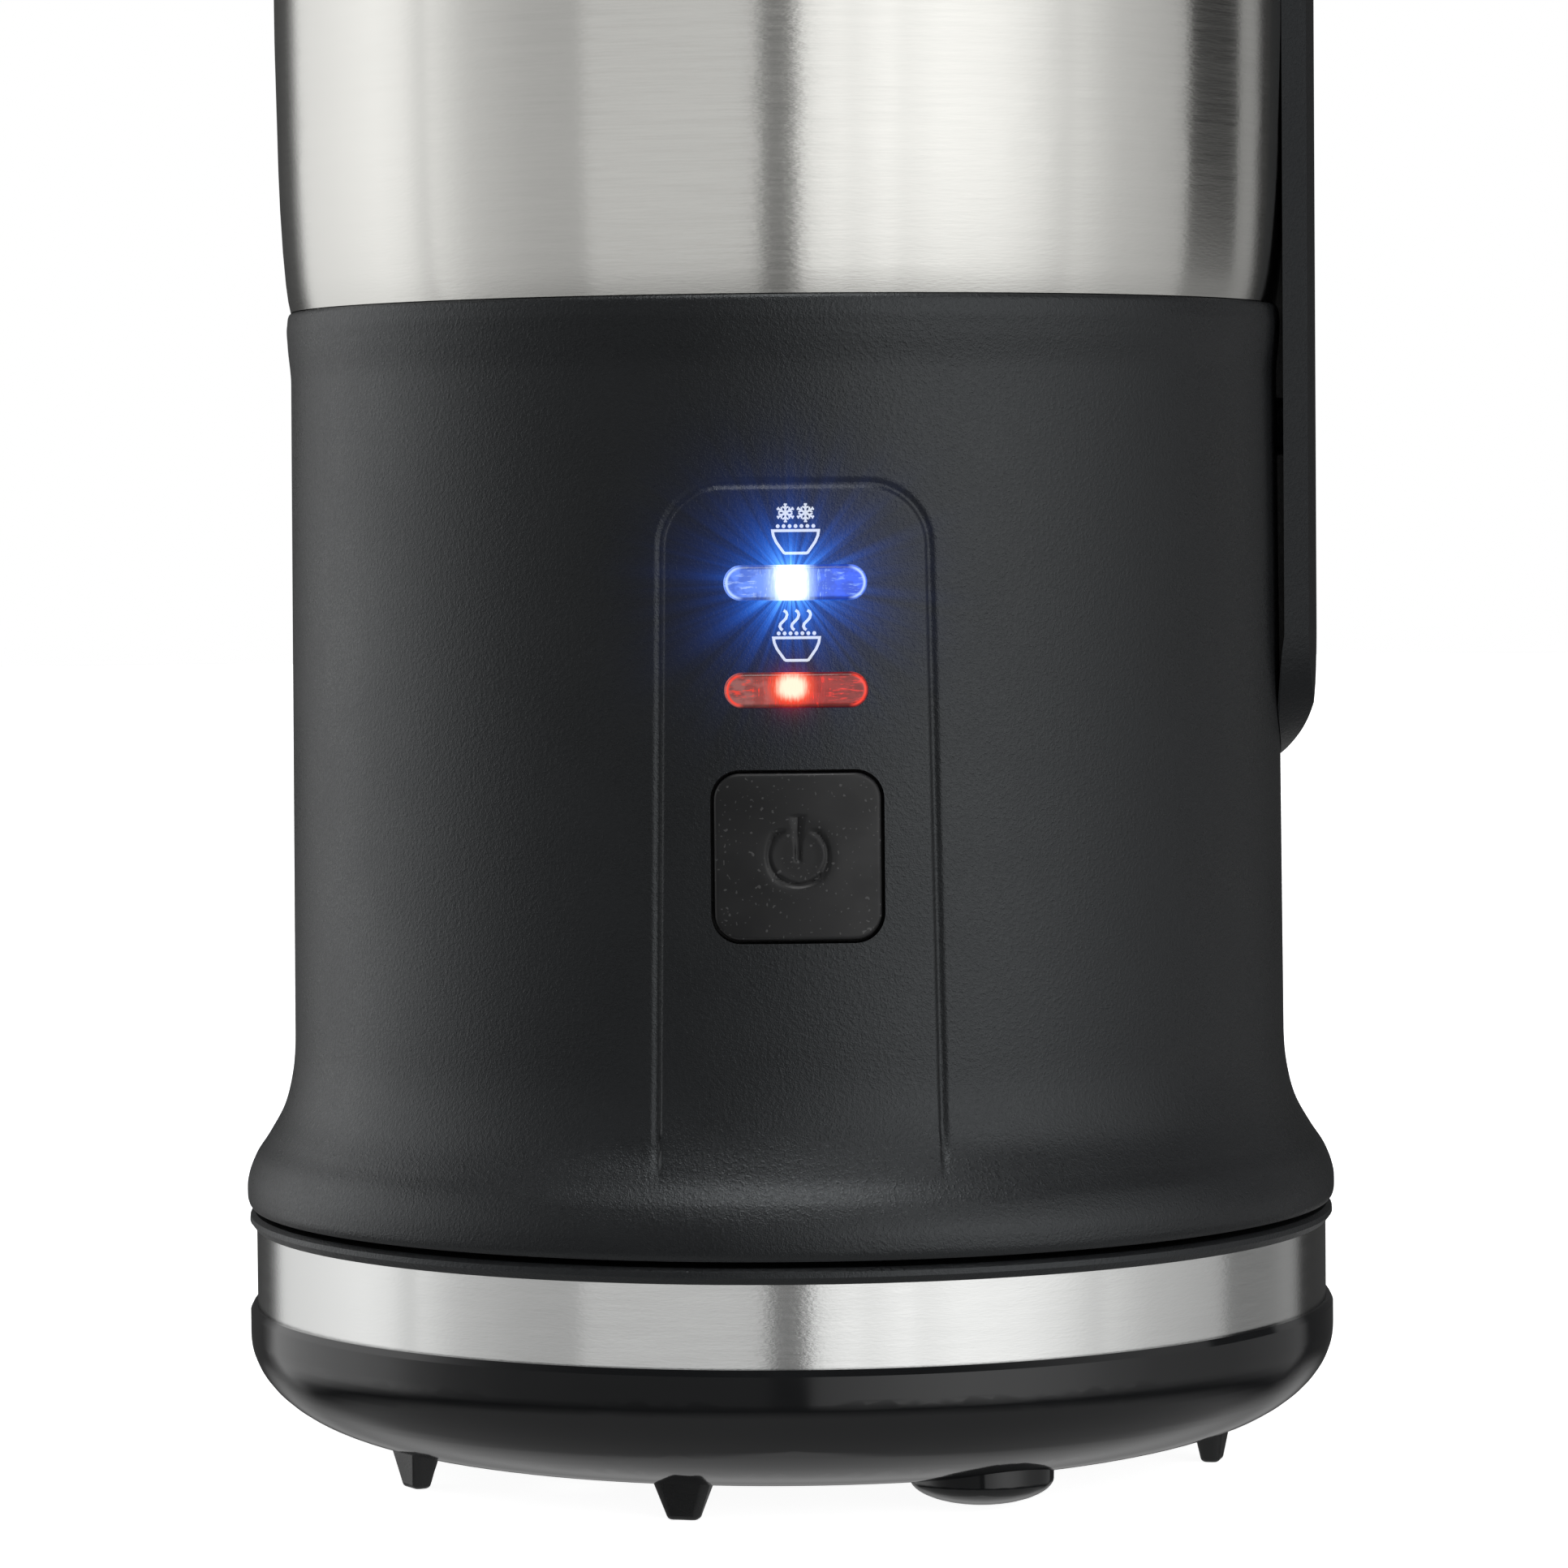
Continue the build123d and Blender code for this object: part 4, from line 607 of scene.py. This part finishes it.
# the rows are close where the panel's arched top crosses them
wall_line = straight(WALL_LOW, WALL_FINE, 0.7) + straight(WALL_FINE, (WALL_TOP[0], PANEL_LAST_Z), 0.16)
lean = (WALL_LOW[0] - WALL_TOP[0]) / (WALL_TOP[1] - WALL_LOW[1])
wall_line = [(WALL_LOW[0] - lean * (z - WALL_LOW[1]), z) for _, z in wall_line]
wall_line += straight(wall_line[-1], WALL_TOP, 1.5)
lip_line = curve([WALL_TOP, (48.3, 108.8), (48.33, 110.6), (47.97, HOUSING_LIP)], DRAFT, (-1, 0.6), 8)
inside_line = [(47.2, HOUSING_LIP), (47.2, SPIGOT_TOP), (45.6, SPIGOT_TOP), (45.6, 105.0), (46.0, 43.7),
               (46.6, 36.0), (48.0, 31.2), (49.0, COVER_TOP), (50.4, COVER_TOP), (50.4, HOUSING_FOOT)]
housing_profile = hem_line + flare_line[1:] + wall_line + lip_line[1:] + inside_line
FINE_HALF_X, FINE_TURN, COARSE_TURN = 14.6, 0.0033, 0.03
fine = math.asin(FINE_HALF_X / WALL_LOW[0])
angles = span_steps([(-fine, fine, FINE_TURN), (fine, 2 * math.pi - fine, COARSE_TURN)])
mesh = bmesh.new()
revolve(mesh, housing_profile, angles, housing_relief)
housing = piece("jug_housing_shell", mesh, "housing_black", JUG, ["jug_housing"])


ARC_STEPS, SIDE_STEPS = 12, 14


def rounded_loop(half_x, half_z, radius, grow=0.0):
    """A rounded rectangle's (x, z) points, grown all round while its corner centres stay."""
    points = []
    radius_now = radius + grow
    corners = ((1, 1, 0), (-1, 1, 90), (-1, -1, 180), (1, -1, 270))
    for n, (sx, sz, start) in enumerate(corners):
        cx, cz = sx * (half_x - radius), sz * (half_z - radius)
        for k in range(ARC_STEPS + 1):
            a = math.radians(start + 90 * k / ARC_STEPS)
            points.append((cx + radius_now * math.cos(a), cz + radius_now * math.sin(a)))
        nx, nz, _ = corners[(n + 1) % 4]
        a = math.radians(start + 90)
        x, z = points[-1]
        run_x = nx * (half_x - radius) + radius_now * math.cos(a) - x
        run_z = nz * (half_z - radius) + radius_now * math.sin(a) - z
        if math.hypot(run_x, run_z) > 1e-6:
            points += [(x + run_x * k / SIDE_STEPS, z + run_z * k / SIDE_STEPS) for k in range(1, SIDE_STEPS)]
    return points


CUT_BACK_Y, CUT_FRONT_Y = -43.0, -54.0


def cut_holes(target, outlines):
    """Cuts straight holes through the front wall. Each outline is (loop, centre height)."""
    mesh = bmesh.new()
    for loop, middle in outlines:
        stack(mesh, [[(x, y, middle + z) for x, z in loop] for y in (CUT_BACK_Y, CUT_FRONT_Y)])
    cutter = piece("cutter", mesh, "housing_black")
    modifier = target.modifiers.new("holes", "BOOLEAN")
    modifier.object = cutter
    modifier.solver = "EXACT"
    bpy.context.view_layer.update()
    depsgraph = bpy.context.evaluated_depsgraph_get()
    data = bpy.data.meshes.new_from_object(target.evaluated_get(depsgraph))
    target.modifiers.clear()
    target.data = data
    data.set_sharp_from_angle(angle=math.radians(SHARP_ANGLE))
    bpy.data.objects.remove(cutter)


BUTTON_HALF, BUTTON_CORNER, BUTTON_GAP = 7.55, 2.4, 0.3
LENS_HALF_X, LENS_HALF_Z, LENS_GAP = 6.425, 1.55, 0.06
cut_holes(housing, [
    (rounded_loop(BUTTON_HALF, BUTTON_HALF, BUTTON_CORNER, BUTTON_GAP), BUTTON_Z / MM),
    (rounded_loop(LENS_HALF_X, LENS_HALF_Z, LENS_HALF_Z, LENS_GAP), BLUE_Z / MM),
    (rounded_loop(LENS_HALF_X, LENS_HALF_Z, LENS_HALF_Z, LENS_GAP), RED_Z / MM),
])


# ---- light bars and power button ---------------------------------------------------------
PAD_BEND_STEPS, PAD_ROW = 7, 0.12
PAD_INSET = 0.93    # the face's rows follow the outline for this share of its corner radius


def front_pad(mesh, outline, middle, face_radius, edge, back, tail, relief=None):
    """A pad on the panel: rounded front edge, curved face and straight sides back to a plane.
    outline is (half_x, half_z, corner); tail is more (outline, y) loops behind the sides."""
    half_x, half_z, corner = outline

    def on_face(x, z, sink):
        rise = relief(x, z) if relief else 0.0
        return (x, -math.sqrt(face_radius ** 2 - x * x) + sink - rise, middle + z)

    loops = [[(x, y, middle + z) for x, z in rounded_loop(*shape)] for shape, y in reversed(tail)]
    loops.append([(x, back, middle + z) for x, z in rounded_loop(half_x, half_z, corner)])
    for k in range(PAD_BEND_STEPS + 1):
        a = math.radians(90 * k / PAD_BEND_STEPS)
        inset, sink = edge * (1 - math.cos(a)), edge * (1 - math.sin(a))
        loops.append([on_face(x, z, sink) for x, z in rounded_loop(half_x, half_z, corner, -inset)])
    deepest = corner * PAD_INSET
    steps = max(1, round((deepest - edge) / PAD_ROW))
    for k in range(1, steps + 1):
        inset = edge + (deepest - edge) * k / steps
        loops.append([on_face(x, z, 0) for x, z in rounded_loop(half_x, half_z, corner, -inset)])
    rows = 44 if relief else 10
    innermost = rounded_loop(half_x, half_z, corner, -deepest)
    for k in range(1, rows):
        share = 1 - k / rows
        loops.append([on_face(x * share, z * share, 0) for x, z in innermost])
    stack(mesh, loops)


for name, height, material, node in (("blue_light_bar", BLUE_Z, "blue_window", "blue_lens"),
                                     ("red_light_bar", RED_Z, "red_window", "red_lens")):
    mesh = bmesh.new()
    front_pad(mesh, (LENS_HALF_X, LENS_HALF_Z, LENS_HALF_Z), height / MM, 48.52, 0.42, -45.0,
              [((7.1, 2.5, 2.5), -45.0), ((7.1, 2.5, 2.5), -44.02)])
    piece(name, mesh, material, JUG, [node])

SYMBOL_R, SYMBOL_LINE, SYMBOL_BAR, SYMBOL_GAP = 2.68, 0.2, 0.26, math.radians(35)
SYMBOL_RISE, BAR_LOW, BAR_HIGH = 0.1, -0.3, 3.4
DISH_R, DISH_DEPTH, RING_DEPTH, BAR_DEPTH = 3.9, 0.16, 0.22, 0.24


def power_relief(x, z):
    """The moulded power symbol in its shallow round dish."""
    z = z - SYMBOL_RISE
    away = math.hypot(x, z)
    rise = -DISH_DEPTH * (1 - smoothstep(away, DISH_R * 0.35, DISH_R))
    ring = abs(away - SYMBOL_R)
    opening = abs(math.atan2(x, z))
    if opening < SYMBOL_GAP:
        end = (SYMBOL_R * math.sin(SYMBOL_GAP), SYMBOL_R * math.cos(SYMBOL_GAP))
        ring = math.hypot(abs(x) - end[0], z - end[1])
    bar = math.hypot(x, max(z - BAR_HIGH, 0, BAR_LOW - z))
    rise -= RING_DEPTH * (1 - smoothstep(ring, SYMBOL_LINE * 0.45, SYMBOL_LINE * 1.5))
    rise -= BAR_DEPTH * (1 - smoothstep(bar, SYMBOL_BAR * 0.45, SYMBOL_BAR * 1.4))
    return rise


mesh = bmesh.new()
front_pad(mesh, (BUTTON_HALF, BUTTON_HALF, BUTTON_CORNER), BUTTON_Z / MM, 48.58, 0.35, -44.72,
          [((8.65, 8.65, 3.0), -44.72), ((8.65, 8.65, 3.0), -43.92), ((6.1, 6.1, 1.5), -43.92),
           ((6.1, 6.1, 1.5), -45.5)], power_relief)
piece("power_button_cap", mesh, "button_black", "button", ["power_button"], sharp=50)


# ---- printed symbols ---------------------------------------------------------------------
PRINT_X, PRINT_PROUD, PRINT_SUNK = 0.05, 0.022, 0.06
INK_WIDTH, INK_RUN, MITRE_LEAST = 0.25, 0.35, 0.4
BOWL_HALF, BOWL_FOOT, BOWL_DEPTH = 2.1, 1.0, 2.03
DOT_R, DOT_PITCH, DOT_RISE = 0.175, 0.533, 0.4


def on_panel(x, z, proud):
    radius = panel_radius(z) + proud
    return (x, -math.sqrt(radius * radius - x * x), z)


def print_shape(mesh, outline):
    """A thin slab of ink over a closed (x, z) outline, following the panel's face."""
    front = [mesh.verts.new(on_panel(x, z, PRINT_PROUD)) for x, z in outline]
    back = [mesh.verts.new(on_panel(x, z, -PRINT_SUNK)) for x, z in outline]
    for i in range(len(outline)):
        j = (i + 1) % len(outline)
        mesh.faces.new((front[i], front[j], back[j], back[i]))
    faces = [mesh.faces.new(front), mesh.faces.new(list(reversed(back)))]
    bmesh.ops.triangulate(mesh, faces=faces)


def print_line(mesh, points, closed=False):
    """A line of ink with mitred corners, cut into short runs so that it follows the panel."""
    path = []
    stops = points + points[:1] if closed else points
    for a, b in zip(stops, stops[1:]):
        count = max(1, round((Vector(b) - Vector(a)).length / INK_RUN))
        path += [tuple(Vector(a).lerp(Vector(b), k / count)) for k in range(count)]
    if not closed:
        path.append(points[-1])
    left, right = [], []
    for i, here in enumerate(path):
        before = path[i - 1] if i or closed else None
        after = path[(i + 1) % len(path)] if i < len(path) - 1 or closed else None
        sides = []
        for a, b in ((before, here), (here, after)):
            if a and b:
                run = (Vector(b) - Vector(a)).normalized()
                sides.append(Vector((-run.y, run.x)))
        side = sum(sides, Vector((0, 0))).normalized()
        reach = INK_WIDTH / 2 / max(side.dot(sides[0]), MITRE_LEAST)
        left.append((here[0] + side.x * reach, here[1] + side.y * reach))
        right.append((here[0] - side.x * reach, here[1] - side.y * reach))
    count = len(path)
    rows = []
    for l, r in zip(left, right):
        rows.append([mesh.verts.new(on_panel(*p, proud)) for p, proud in
                     ((l, PRINT_PROUD), (r, PRINT_PROUD), (r, -PRINT_SUNK), (l, -PRINT_SUNK))])
    for i in range(count if closed else count - 1):
        a, b = rows[i], rows[(i + 1) % count]
        for k in range(4):
            n = (k + 1) % 4
            mesh.faces.new((a[k], a[n], b[n], b[k]))
    if not closed:
        mesh.faces.new(rows[0])
        mesh.faces.new(list(reversed(rows[-1])))


def bowl_and_dots(mesh, rim_z):
    """A bowl seen from the side with a row of seven bubbles over it."""
    side = [(BOWL_HALF - 0.03, 0), (BOWL_HALF - 0.1, -0.45), (BOWL_HALF - 0.34, -1.0),
            (BOWL_HALF - 0.7, -1.52), (BOWL_FOOT + 0.08, -BOWL_DEPTH + 0.06), (BOWL_FOOT - 0.05, -BOWL_DEPTH)]
    left = [(PRINT_X - x, rim_z + z) for x, z in side]
    right = [(PRINT_X + x, rim_z + z) for x, z in reversed(side)]
    print_line(mesh, left + right, closed=True)
    for n in (-3, -2, -1, 0, 1, 2, 3):
        cx, cz = PRINT_X + DOT_PITCH * n, rim_z + DOT_RISE
        print_shape(mesh, [(cx + DOT_R * math.cos(a), cz + DOT_R * math.sin(a))
                           for a in [k * math.pi / 8 for k in range(16)]])


def snowflake(mesh, cx, cz, size):
    """A six-armed flake, each arm with one pair of barbs."""
    # (along, across) for one side of an arm, as shares of the flake's size
    arm = [(0.2, 0.11), (0.42, 0.11), (0.60, 0.36), (0.74, 0.28), (0.63, 0.11), (0.80, 0.11),
           (0.90, 0.20), (1.0, 0.12), (0.98, 0.0)]
    outline = []
    for n in range(6):
        turn_by = math.radians(90 - 60 * n)
        for along, across in [(a, -c) for a, c in arm] + [(a, c) for a, c in reversed(arm[:-1])]:
            outline.append((cx + size * (along * math.cos(turn_by) + across * math.sin(turn_by)),
                            cz + size * (along * math.sin(turn_by) - across * math.cos(turn_by))))
    print_shape(mesh, outline)


mesh = bmesh.new()
COLD_BOWL_Z, FLAKE_Z, FLAKE_OFF, FLAKE_SIZE = 90.58, 92.17, 0.9, 0.86
bowl_and_dots(mesh, COLD_BOWL_Z)
for side in (-1, 1):
    snowflake(mesh, PRINT_X + FLAKE_OFF * side, FLAKE_Z, FLAKE_SIZE)
piece("cold_symbol", mesh, "print_white", JUG, sharp=30)
mesh = bmesh.new()
HOT_BOWL_Z, STEAM_PITCH, STEAM_OFF = 80.96, 1.06, -0.07
STEAM = [(0.0, 83.42), (0.2, 83.3), (0.3, 83.05), (0.2, 82.72), (-0.05, 82.45), (-0.3, 82.2),
         (-0.36, 81.98), (-0.26, 81.76), (-0.1, 81.66)]
bowl_and_dots(mesh, HOT_BOWL_Z)
for n in (-1, 0, 1):
    cx = PRINT_X + STEAM_PITCH * n + STEAM_OFF
    print_line(mesh, [(cx + x, z) for x, z in STEAM])
piece("hot_symbol", mesh, "print_white", JUG, sharp=30)


# ---- wound springs: the whisk's ring and the one behind the button ------------------------
def wire(mesh, points, centres, radius, sides, closed):
    """A round wire through points, each of them on a turn about its own centre."""
    count = len(points)
    rows = []
    for i, (here, centre) in enumerate(zip(points, centres)):
        after = points[(i + 1) % count] if closed else points[min(i + 1, count - 1)]
        before = points[i - 1] if closed else points[max(i - 1, 0)]
        ahead = (after - before).normalized()
        across = ahead.cross((here - centre).normalized()).normalized()
        outward = across.cross(ahead)
        rows.append([mesh.verts.new(here + (outward * math.cos(a) + across * math.sin(a)) * radius)
                     for a in [2 * math.pi * k / sides for k in range(sides)]])
    for here, there in zip(rows, rows[1:] + rows[:1] if closed else rows[1:]):
        for k in range(sides):
            n = (k + 1) % sides
            mesh.faces.new((here[k], here[n], there[n], there[k]))
    if not closed:
        mesh.faces.new(rows[0])
        mesh.faces.new(list(reversed(rows[-1])))


ring_low, ring_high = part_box("whisk_coil")
RING_Z = (ring_low.z + ring_high.z) / 2 / MM
COIL_R = (ring_high.z - ring_low.z) / 2 / MM
RING_R = ring_high.x / MM - COIL_R
COIL_TURNS, TURN_STEPS, WIRE_SIDES, WIRE_R = 56, 20, 7, 0.24
coil_points, coil_centres = [], []
for i in range(COIL_TURNS * TURN_STEPS):
    around = 2 * math.pi * i / (COIL_TURNS * TURN_STEPS)
    wind = around * COIL_TURNS
    reach = RING_R + (COIL_R - WIRE_R) * math.cos(wind)
    rise = RING_Z + (COIL_R - WIRE_R) * math.sin(wind)
    coil_points.append(Vector((reach * math.cos(around), reach * math.sin(around), rise)))
    coil_centres.append(Vector((RING_R * math.cos(around), RING_R * math.sin(around), RING_Z)))
mesh = bmesh.new()
wire(mesh, coil_points, coil_centres, WIRE_R, WIRE_SIDES, closed=True)
piece("whisk_spring", mesh, "whisk_wire", "whisk", ["whisk_coil"], sharp=80)

spring_low, spring_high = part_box("button_spring")
SPRING_WIRE_R, SPRING_TURNS, SPRING_STEPS, SPRING_SIDES = 0.2, 4, 128, 10
SPRING_R = (spring_high.x - spring_low.x) / 2 / MM - SPRING_WIRE_R
SPRING_Z = (spring_low.z + spring_high.z) / 2 / MM
front_y, back_y = spring_low.y / MM + SPRING_WIRE_R, spring_high.y / MM - SPRING_WIRE_R
spring_points, spring_centres = [], []
for i in range(SPRING_STEPS + 1):
    share = i / SPRING_STEPS
    wind = 2 * math.pi * SPRING_TURNS * share
    y = front_y + (back_y - front_y) * share
    spring_points.append(Vector((SPRING_R * math.cos(wind), y, SPRING_Z + SPRING_R * math.sin(wind))))
    spring_centres.append(Vector((0, y, SPRING_Z)))
mesh = bmesh.new()
wire(mesh, spring_points, spring_centres, SPRING_WIRE_R, SPRING_SIDES, closed=False)
spring = piece("button_return_spring", mesh, "spring_steel", JUG, ["button_spring"], sharp=60)
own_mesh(spring)


# ---- floor and backdrop ------------------------------------------------------------------
# Both are bright to the camera only: the light on the object comes from the studio below.
FLOOR_R, BACKDROP_R = 3.0, 4.0
FLOOR_GREY = (0.9, 0.9, 0.9)


def stage_piece(name, mesh, material):
    data = bpy.data.meshes.new(name)
    mesh.to_mesh(data)
    mesh.free()
    data.materials.append(material)
    item = bpy.data.objects.new(name, data)
    SCENE.collection.objects.link(item)
    item.visible_glossy = False
    item.visible_diffuse = False
    item.visible_shadow = False
    return item


floor_material, graph, bsdf = shader("floor_paper", FLOOR_GREY, 0.9, Specular_IOR_Level=0.1)
fibres = graph.noise(cube(0.002), 3.0, 0.6)
tint(graph, bsdf, FLOOR_GREY, fibres, 0.01)
graph.put(bsdf.inputs["Normal"], graph.bump(fibres, 0.00002))
bsdf.inputs["Emission Color"].default_value = (1, 1, 1, 1)
x, y, _ = graph.xyz()
# a soft contact shade: the paper is a little darker under the object
graph.put(bsdf.inputs["Emission Strength"], graph.span(graph.hypot(x, y), 0.04, 0.25, 0.93, 1.0))
mesh = bmesh.new()
bmesh.ops.create_circle(mesh, cap_ends=True, segments=96, radius=FLOOR_R)
for face in mesh.faces:
    if face.normal.z < 0:
        face.normal_flip()
floor = stage_piece("floor", mesh, floor_material)

backdrop_material = bpy.data.materials.new("backdrop_white")
backdrop_material.use_nodes = True
backdrop_nodes = backdrop_material.node_tree.nodes
backdrop_nodes.clear()
glow_node = backdrop_nodes.new("ShaderNodeEmission")
glow_node.inputs["Strength"].default_value = 1.0
output = backdrop_nodes.new("ShaderNodeOutputMaterial")
backdrop_material.node_tree.links.new(glow_node.outputs[0], output.inputs[0])
mesh = bmesh.new()
bmesh.ops.create_icosphere(mesh, subdivisions=4, radius=BACKDROP_R)
for face in mesh.faces:
    face.normal_flip()
backdrop = stage_piece("backdrop", mesh, backdrop_material)

# ---- studio light --------------------------------------------------------------------------
# The world is the studio, by direction: softboxes round the sides with a dark gap at the camera, a
# black flag by the grip, a box overhead and a fainter one below. Directions are an azimuth from
# the front towards +X, in degrees, and a lift from -1, straight down, to 1, straight up.
WALL = [(-180, 0.04), (-164, 0.04), (-151, 0.07), (-146, 0.3), (-141, 1.0), (-125, 1.15), (-104, 1.38),
        (-95, 1.3), (-85, 0.74), (-75, 0.42), (-60, 0.25), (-40, 0.2), (-6.0, 0.2), (-5.2, 0.06), (2.2, 0.06),
        (3.0, 0.85), (14, 1.15), (24, 1.45), (35, 1.65), (48, 1.55), (58, 1.3), (68, 0.9), (80, 0.58),
        (93, 0.45), (104, 0.36), (120, 0.34), (134, 0.36), (139, 0.02), (180, 0.04)]
WALL_GAIN = 0.9
WALL_LIFT = (-0.45, -0.22, 0.48, 0.68)
TOP_GAIN, TOP_LIFT = 4.6, (0.76, 0.84)
BELOW_GAIN, BELOW_LIFT = 0.34, (-0.62, -0.42)
BEHIND_GAIN, BEHIND_LIFT = 0.34, (-0.34, -0.2)
FLAG_LIFT = (-0.07, -0.01)    # the base is too low to see the flag
AMBIENT = 0.02
RAMP_TOP = 2.0    # a ramp's colours stop at 1, so the wall's are stored as shares of this


def turn_of(degrees):
    """An azimuth on the radial gradient, which is 0.5 at the front."""
    return degrees / 360 + 0.5


FLAG = (turn_of(102.5), turn_of(102.5) + 0.004, turn_of(126) - 0.006, turn_of(126))
AHEAD = (0.36, 0.47, 0.53, 0.64)
BEHIND_LEFT, BEHIND_RIGHT = (0.06, 0.13), (0.87, 0.94)

world = bpy.data.worlds.new("studio")
SCENE.world = world
world.use_nodes = True
graph = Graph(world.node_tree)
turn = graph.nodes.new("ShaderNodeMapping")
turn.inputs["Rotation"].default_value = (0, 0, math.radians(90))
graph.put(turn.inputs["Vector"], graph.nodes.new("ShaderNodeTexCoord").outputs["Generated"])
radial = graph.nodes.new("ShaderNodeTexGradient")
radial.gradient_type = "RADIAL"
graph.put(radial.inputs["Vector"], turn.outputs[0])
azimuth = radial.outputs["Fac"]
_, _, lift = graph.xyz(graph.nodes.new("ShaderNodeTexCoord").outputs["Generated"])
around_wall = graph.ramp(azimuth, [(turn_of(degrees), value / RAMP_TOP) for degrees, value in WALL])
wall = graph.mul(graph.mul(around_wall, WALL_GAIN * RAMP_TOP), graph.band(lift, *WALL_LIFT))
# the wall is a little brighter higher up
wall = graph.mul(wall, graph.span(lift, -0.14, 0.06, 0.9, 1.08))
flag = graph.mul(graph.band(azimuth, *FLAG), graph.span(lift, *FLAG_LIFT))
wall = graph.mul(wall, graph.add(1.0, graph.mul(flag, -1.0)))
# the overhead box is a tenth as bright where it isn't ahead
ahead = graph.add(graph.mul(graph.band(azimuth, *AHEAD), 0.9), 0.1)
top = graph.mul(graph.mul(graph.span(lift, *TOP_LIFT), ahead), TOP_GAIN)
below = graph.mul(graph.span(lift, *BELOW_LIFT, 1.0, 0.0), BELOW_GAIN)
behind = graph.add(graph.span(azimuth, *BEHIND_LEFT, 1.0, 0.0), graph.span(azimuth, *BEHIND_RIGHT))
behind = graph.mul(graph.mul(behind, graph.span(lift, *BEHIND_LIFT, 1.0, 0.0)), BEHIND_GAIN)
light_sum = graph.add(graph.add(graph.add(wall, top), graph.add(below, behind)), AMBIENT)
background = graph.nodes["Background"]
graph.put(background.inputs["Color"], light_sum)
background.inputs["Strength"].default_value = 1.0

# Extra boxes that only the brushed steel sees: (from azimuth, to azimuth, radiance).
STEEL_BOXES = [(-86, -45, 0.37), (-45, -5.8, 0.6), (-5.8, 2.6, 0.13), (2.6, 13, 0.42), (13, 24, 0.22),
               (66, 101.5, 0.19)]
BOX_AWAY, BOX_HEIGHT, BOX_MIDDLE_Z = 1.4, 1.0, 0.1
steel_pieces = bpy.data.collections.new("steel_pieces")
for name in ("jug_jacket", "base_band"):
    steel_pieces.objects.link(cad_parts[name])
for low, high, radiance in STEEL_BOXES:
    width = 2 * BOX_AWAY * math.tan(math.radians(high - low) / 2)
    light = bpy.data.lights.new("steel_box", "AREA")
    light.shape = "RECTANGLE"
    light.size, light.size_y = width, BOX_HEIGHT
    light.energy = radiance * math.pi * width * BOX_HEIGHT
    lamp = bpy.data.objects.new("steel_box", light)
    SCENE.collection.objects.link(lamp)
    middle = math.radians((low + high) / 2)
    out = Vector((math.sin(middle), -math.cos(middle), 0))
    lamp.location = out * BOX_AWAY + Vector((0, 0, BOX_MIDDLE_Z))
    lamp.rotation_mode = "QUATERNION"
    lamp.rotation_quaternion = (-out).to_track_quat("-Z", "Y")
    lamp.visible_camera = False
    lamp.light_linking.receiver_collection = steel_pieces

SCENE.view_settings.view_transform = "Standard"

# ---- camera --------------------------------------------------------------------------------
# worked out from the rings of the base and the jug in the photograph
CAMERA_LENS, CAMERA_SENSOR = 135.4, 36    # millimetres
CAMERA_TURN = math.radians(-1.04)
CAMERA_DIP = math.radians(2.70)
CAMERA_ROLL = math.radians(-0.526)
CAMERA_AWAY, CAMERA_HEIGHT, CAMERA_SIDE = 0.578, 0.0928, -0.00032
camera_data = bpy.data.cameras.new("camera")
camera_data.lens = CAMERA_LENS
camera_data.sensor_width = CAMERA_SENSOR
camera_data.clip_start = 0.02
camera_data.clip_end = 20
camera = bpy.data.objects.new("camera", camera_data)
SCENE.collection.objects.link(camera)
SCENE.camera = camera
looking = Vector((-math.sin(CAMERA_TURN) * math.cos(CAMERA_DIP),
                  math.cos(CAMERA_TURN) * math.cos(CAMERA_DIP),
                  -math.sin(CAMERA_DIP)))
camera.location = (
    math.sin(CAMERA_TURN) * CAMERA_AWAY + CAMERA_SIDE * math.cos(CAMERA_TURN),
    -math.cos(CAMERA_TURN) * CAMERA_AWAY + CAMERA_SIDE * math.sin(CAMERA_TURN),
    CAMERA_HEIGHT,
)
camera.rotation_mode = "QUATERNION"
camera.rotation_quaternion = looking.to_track_quat("-Z", "Y") @ Quaternion((0, 0, 1), CAMERA_ROLL)
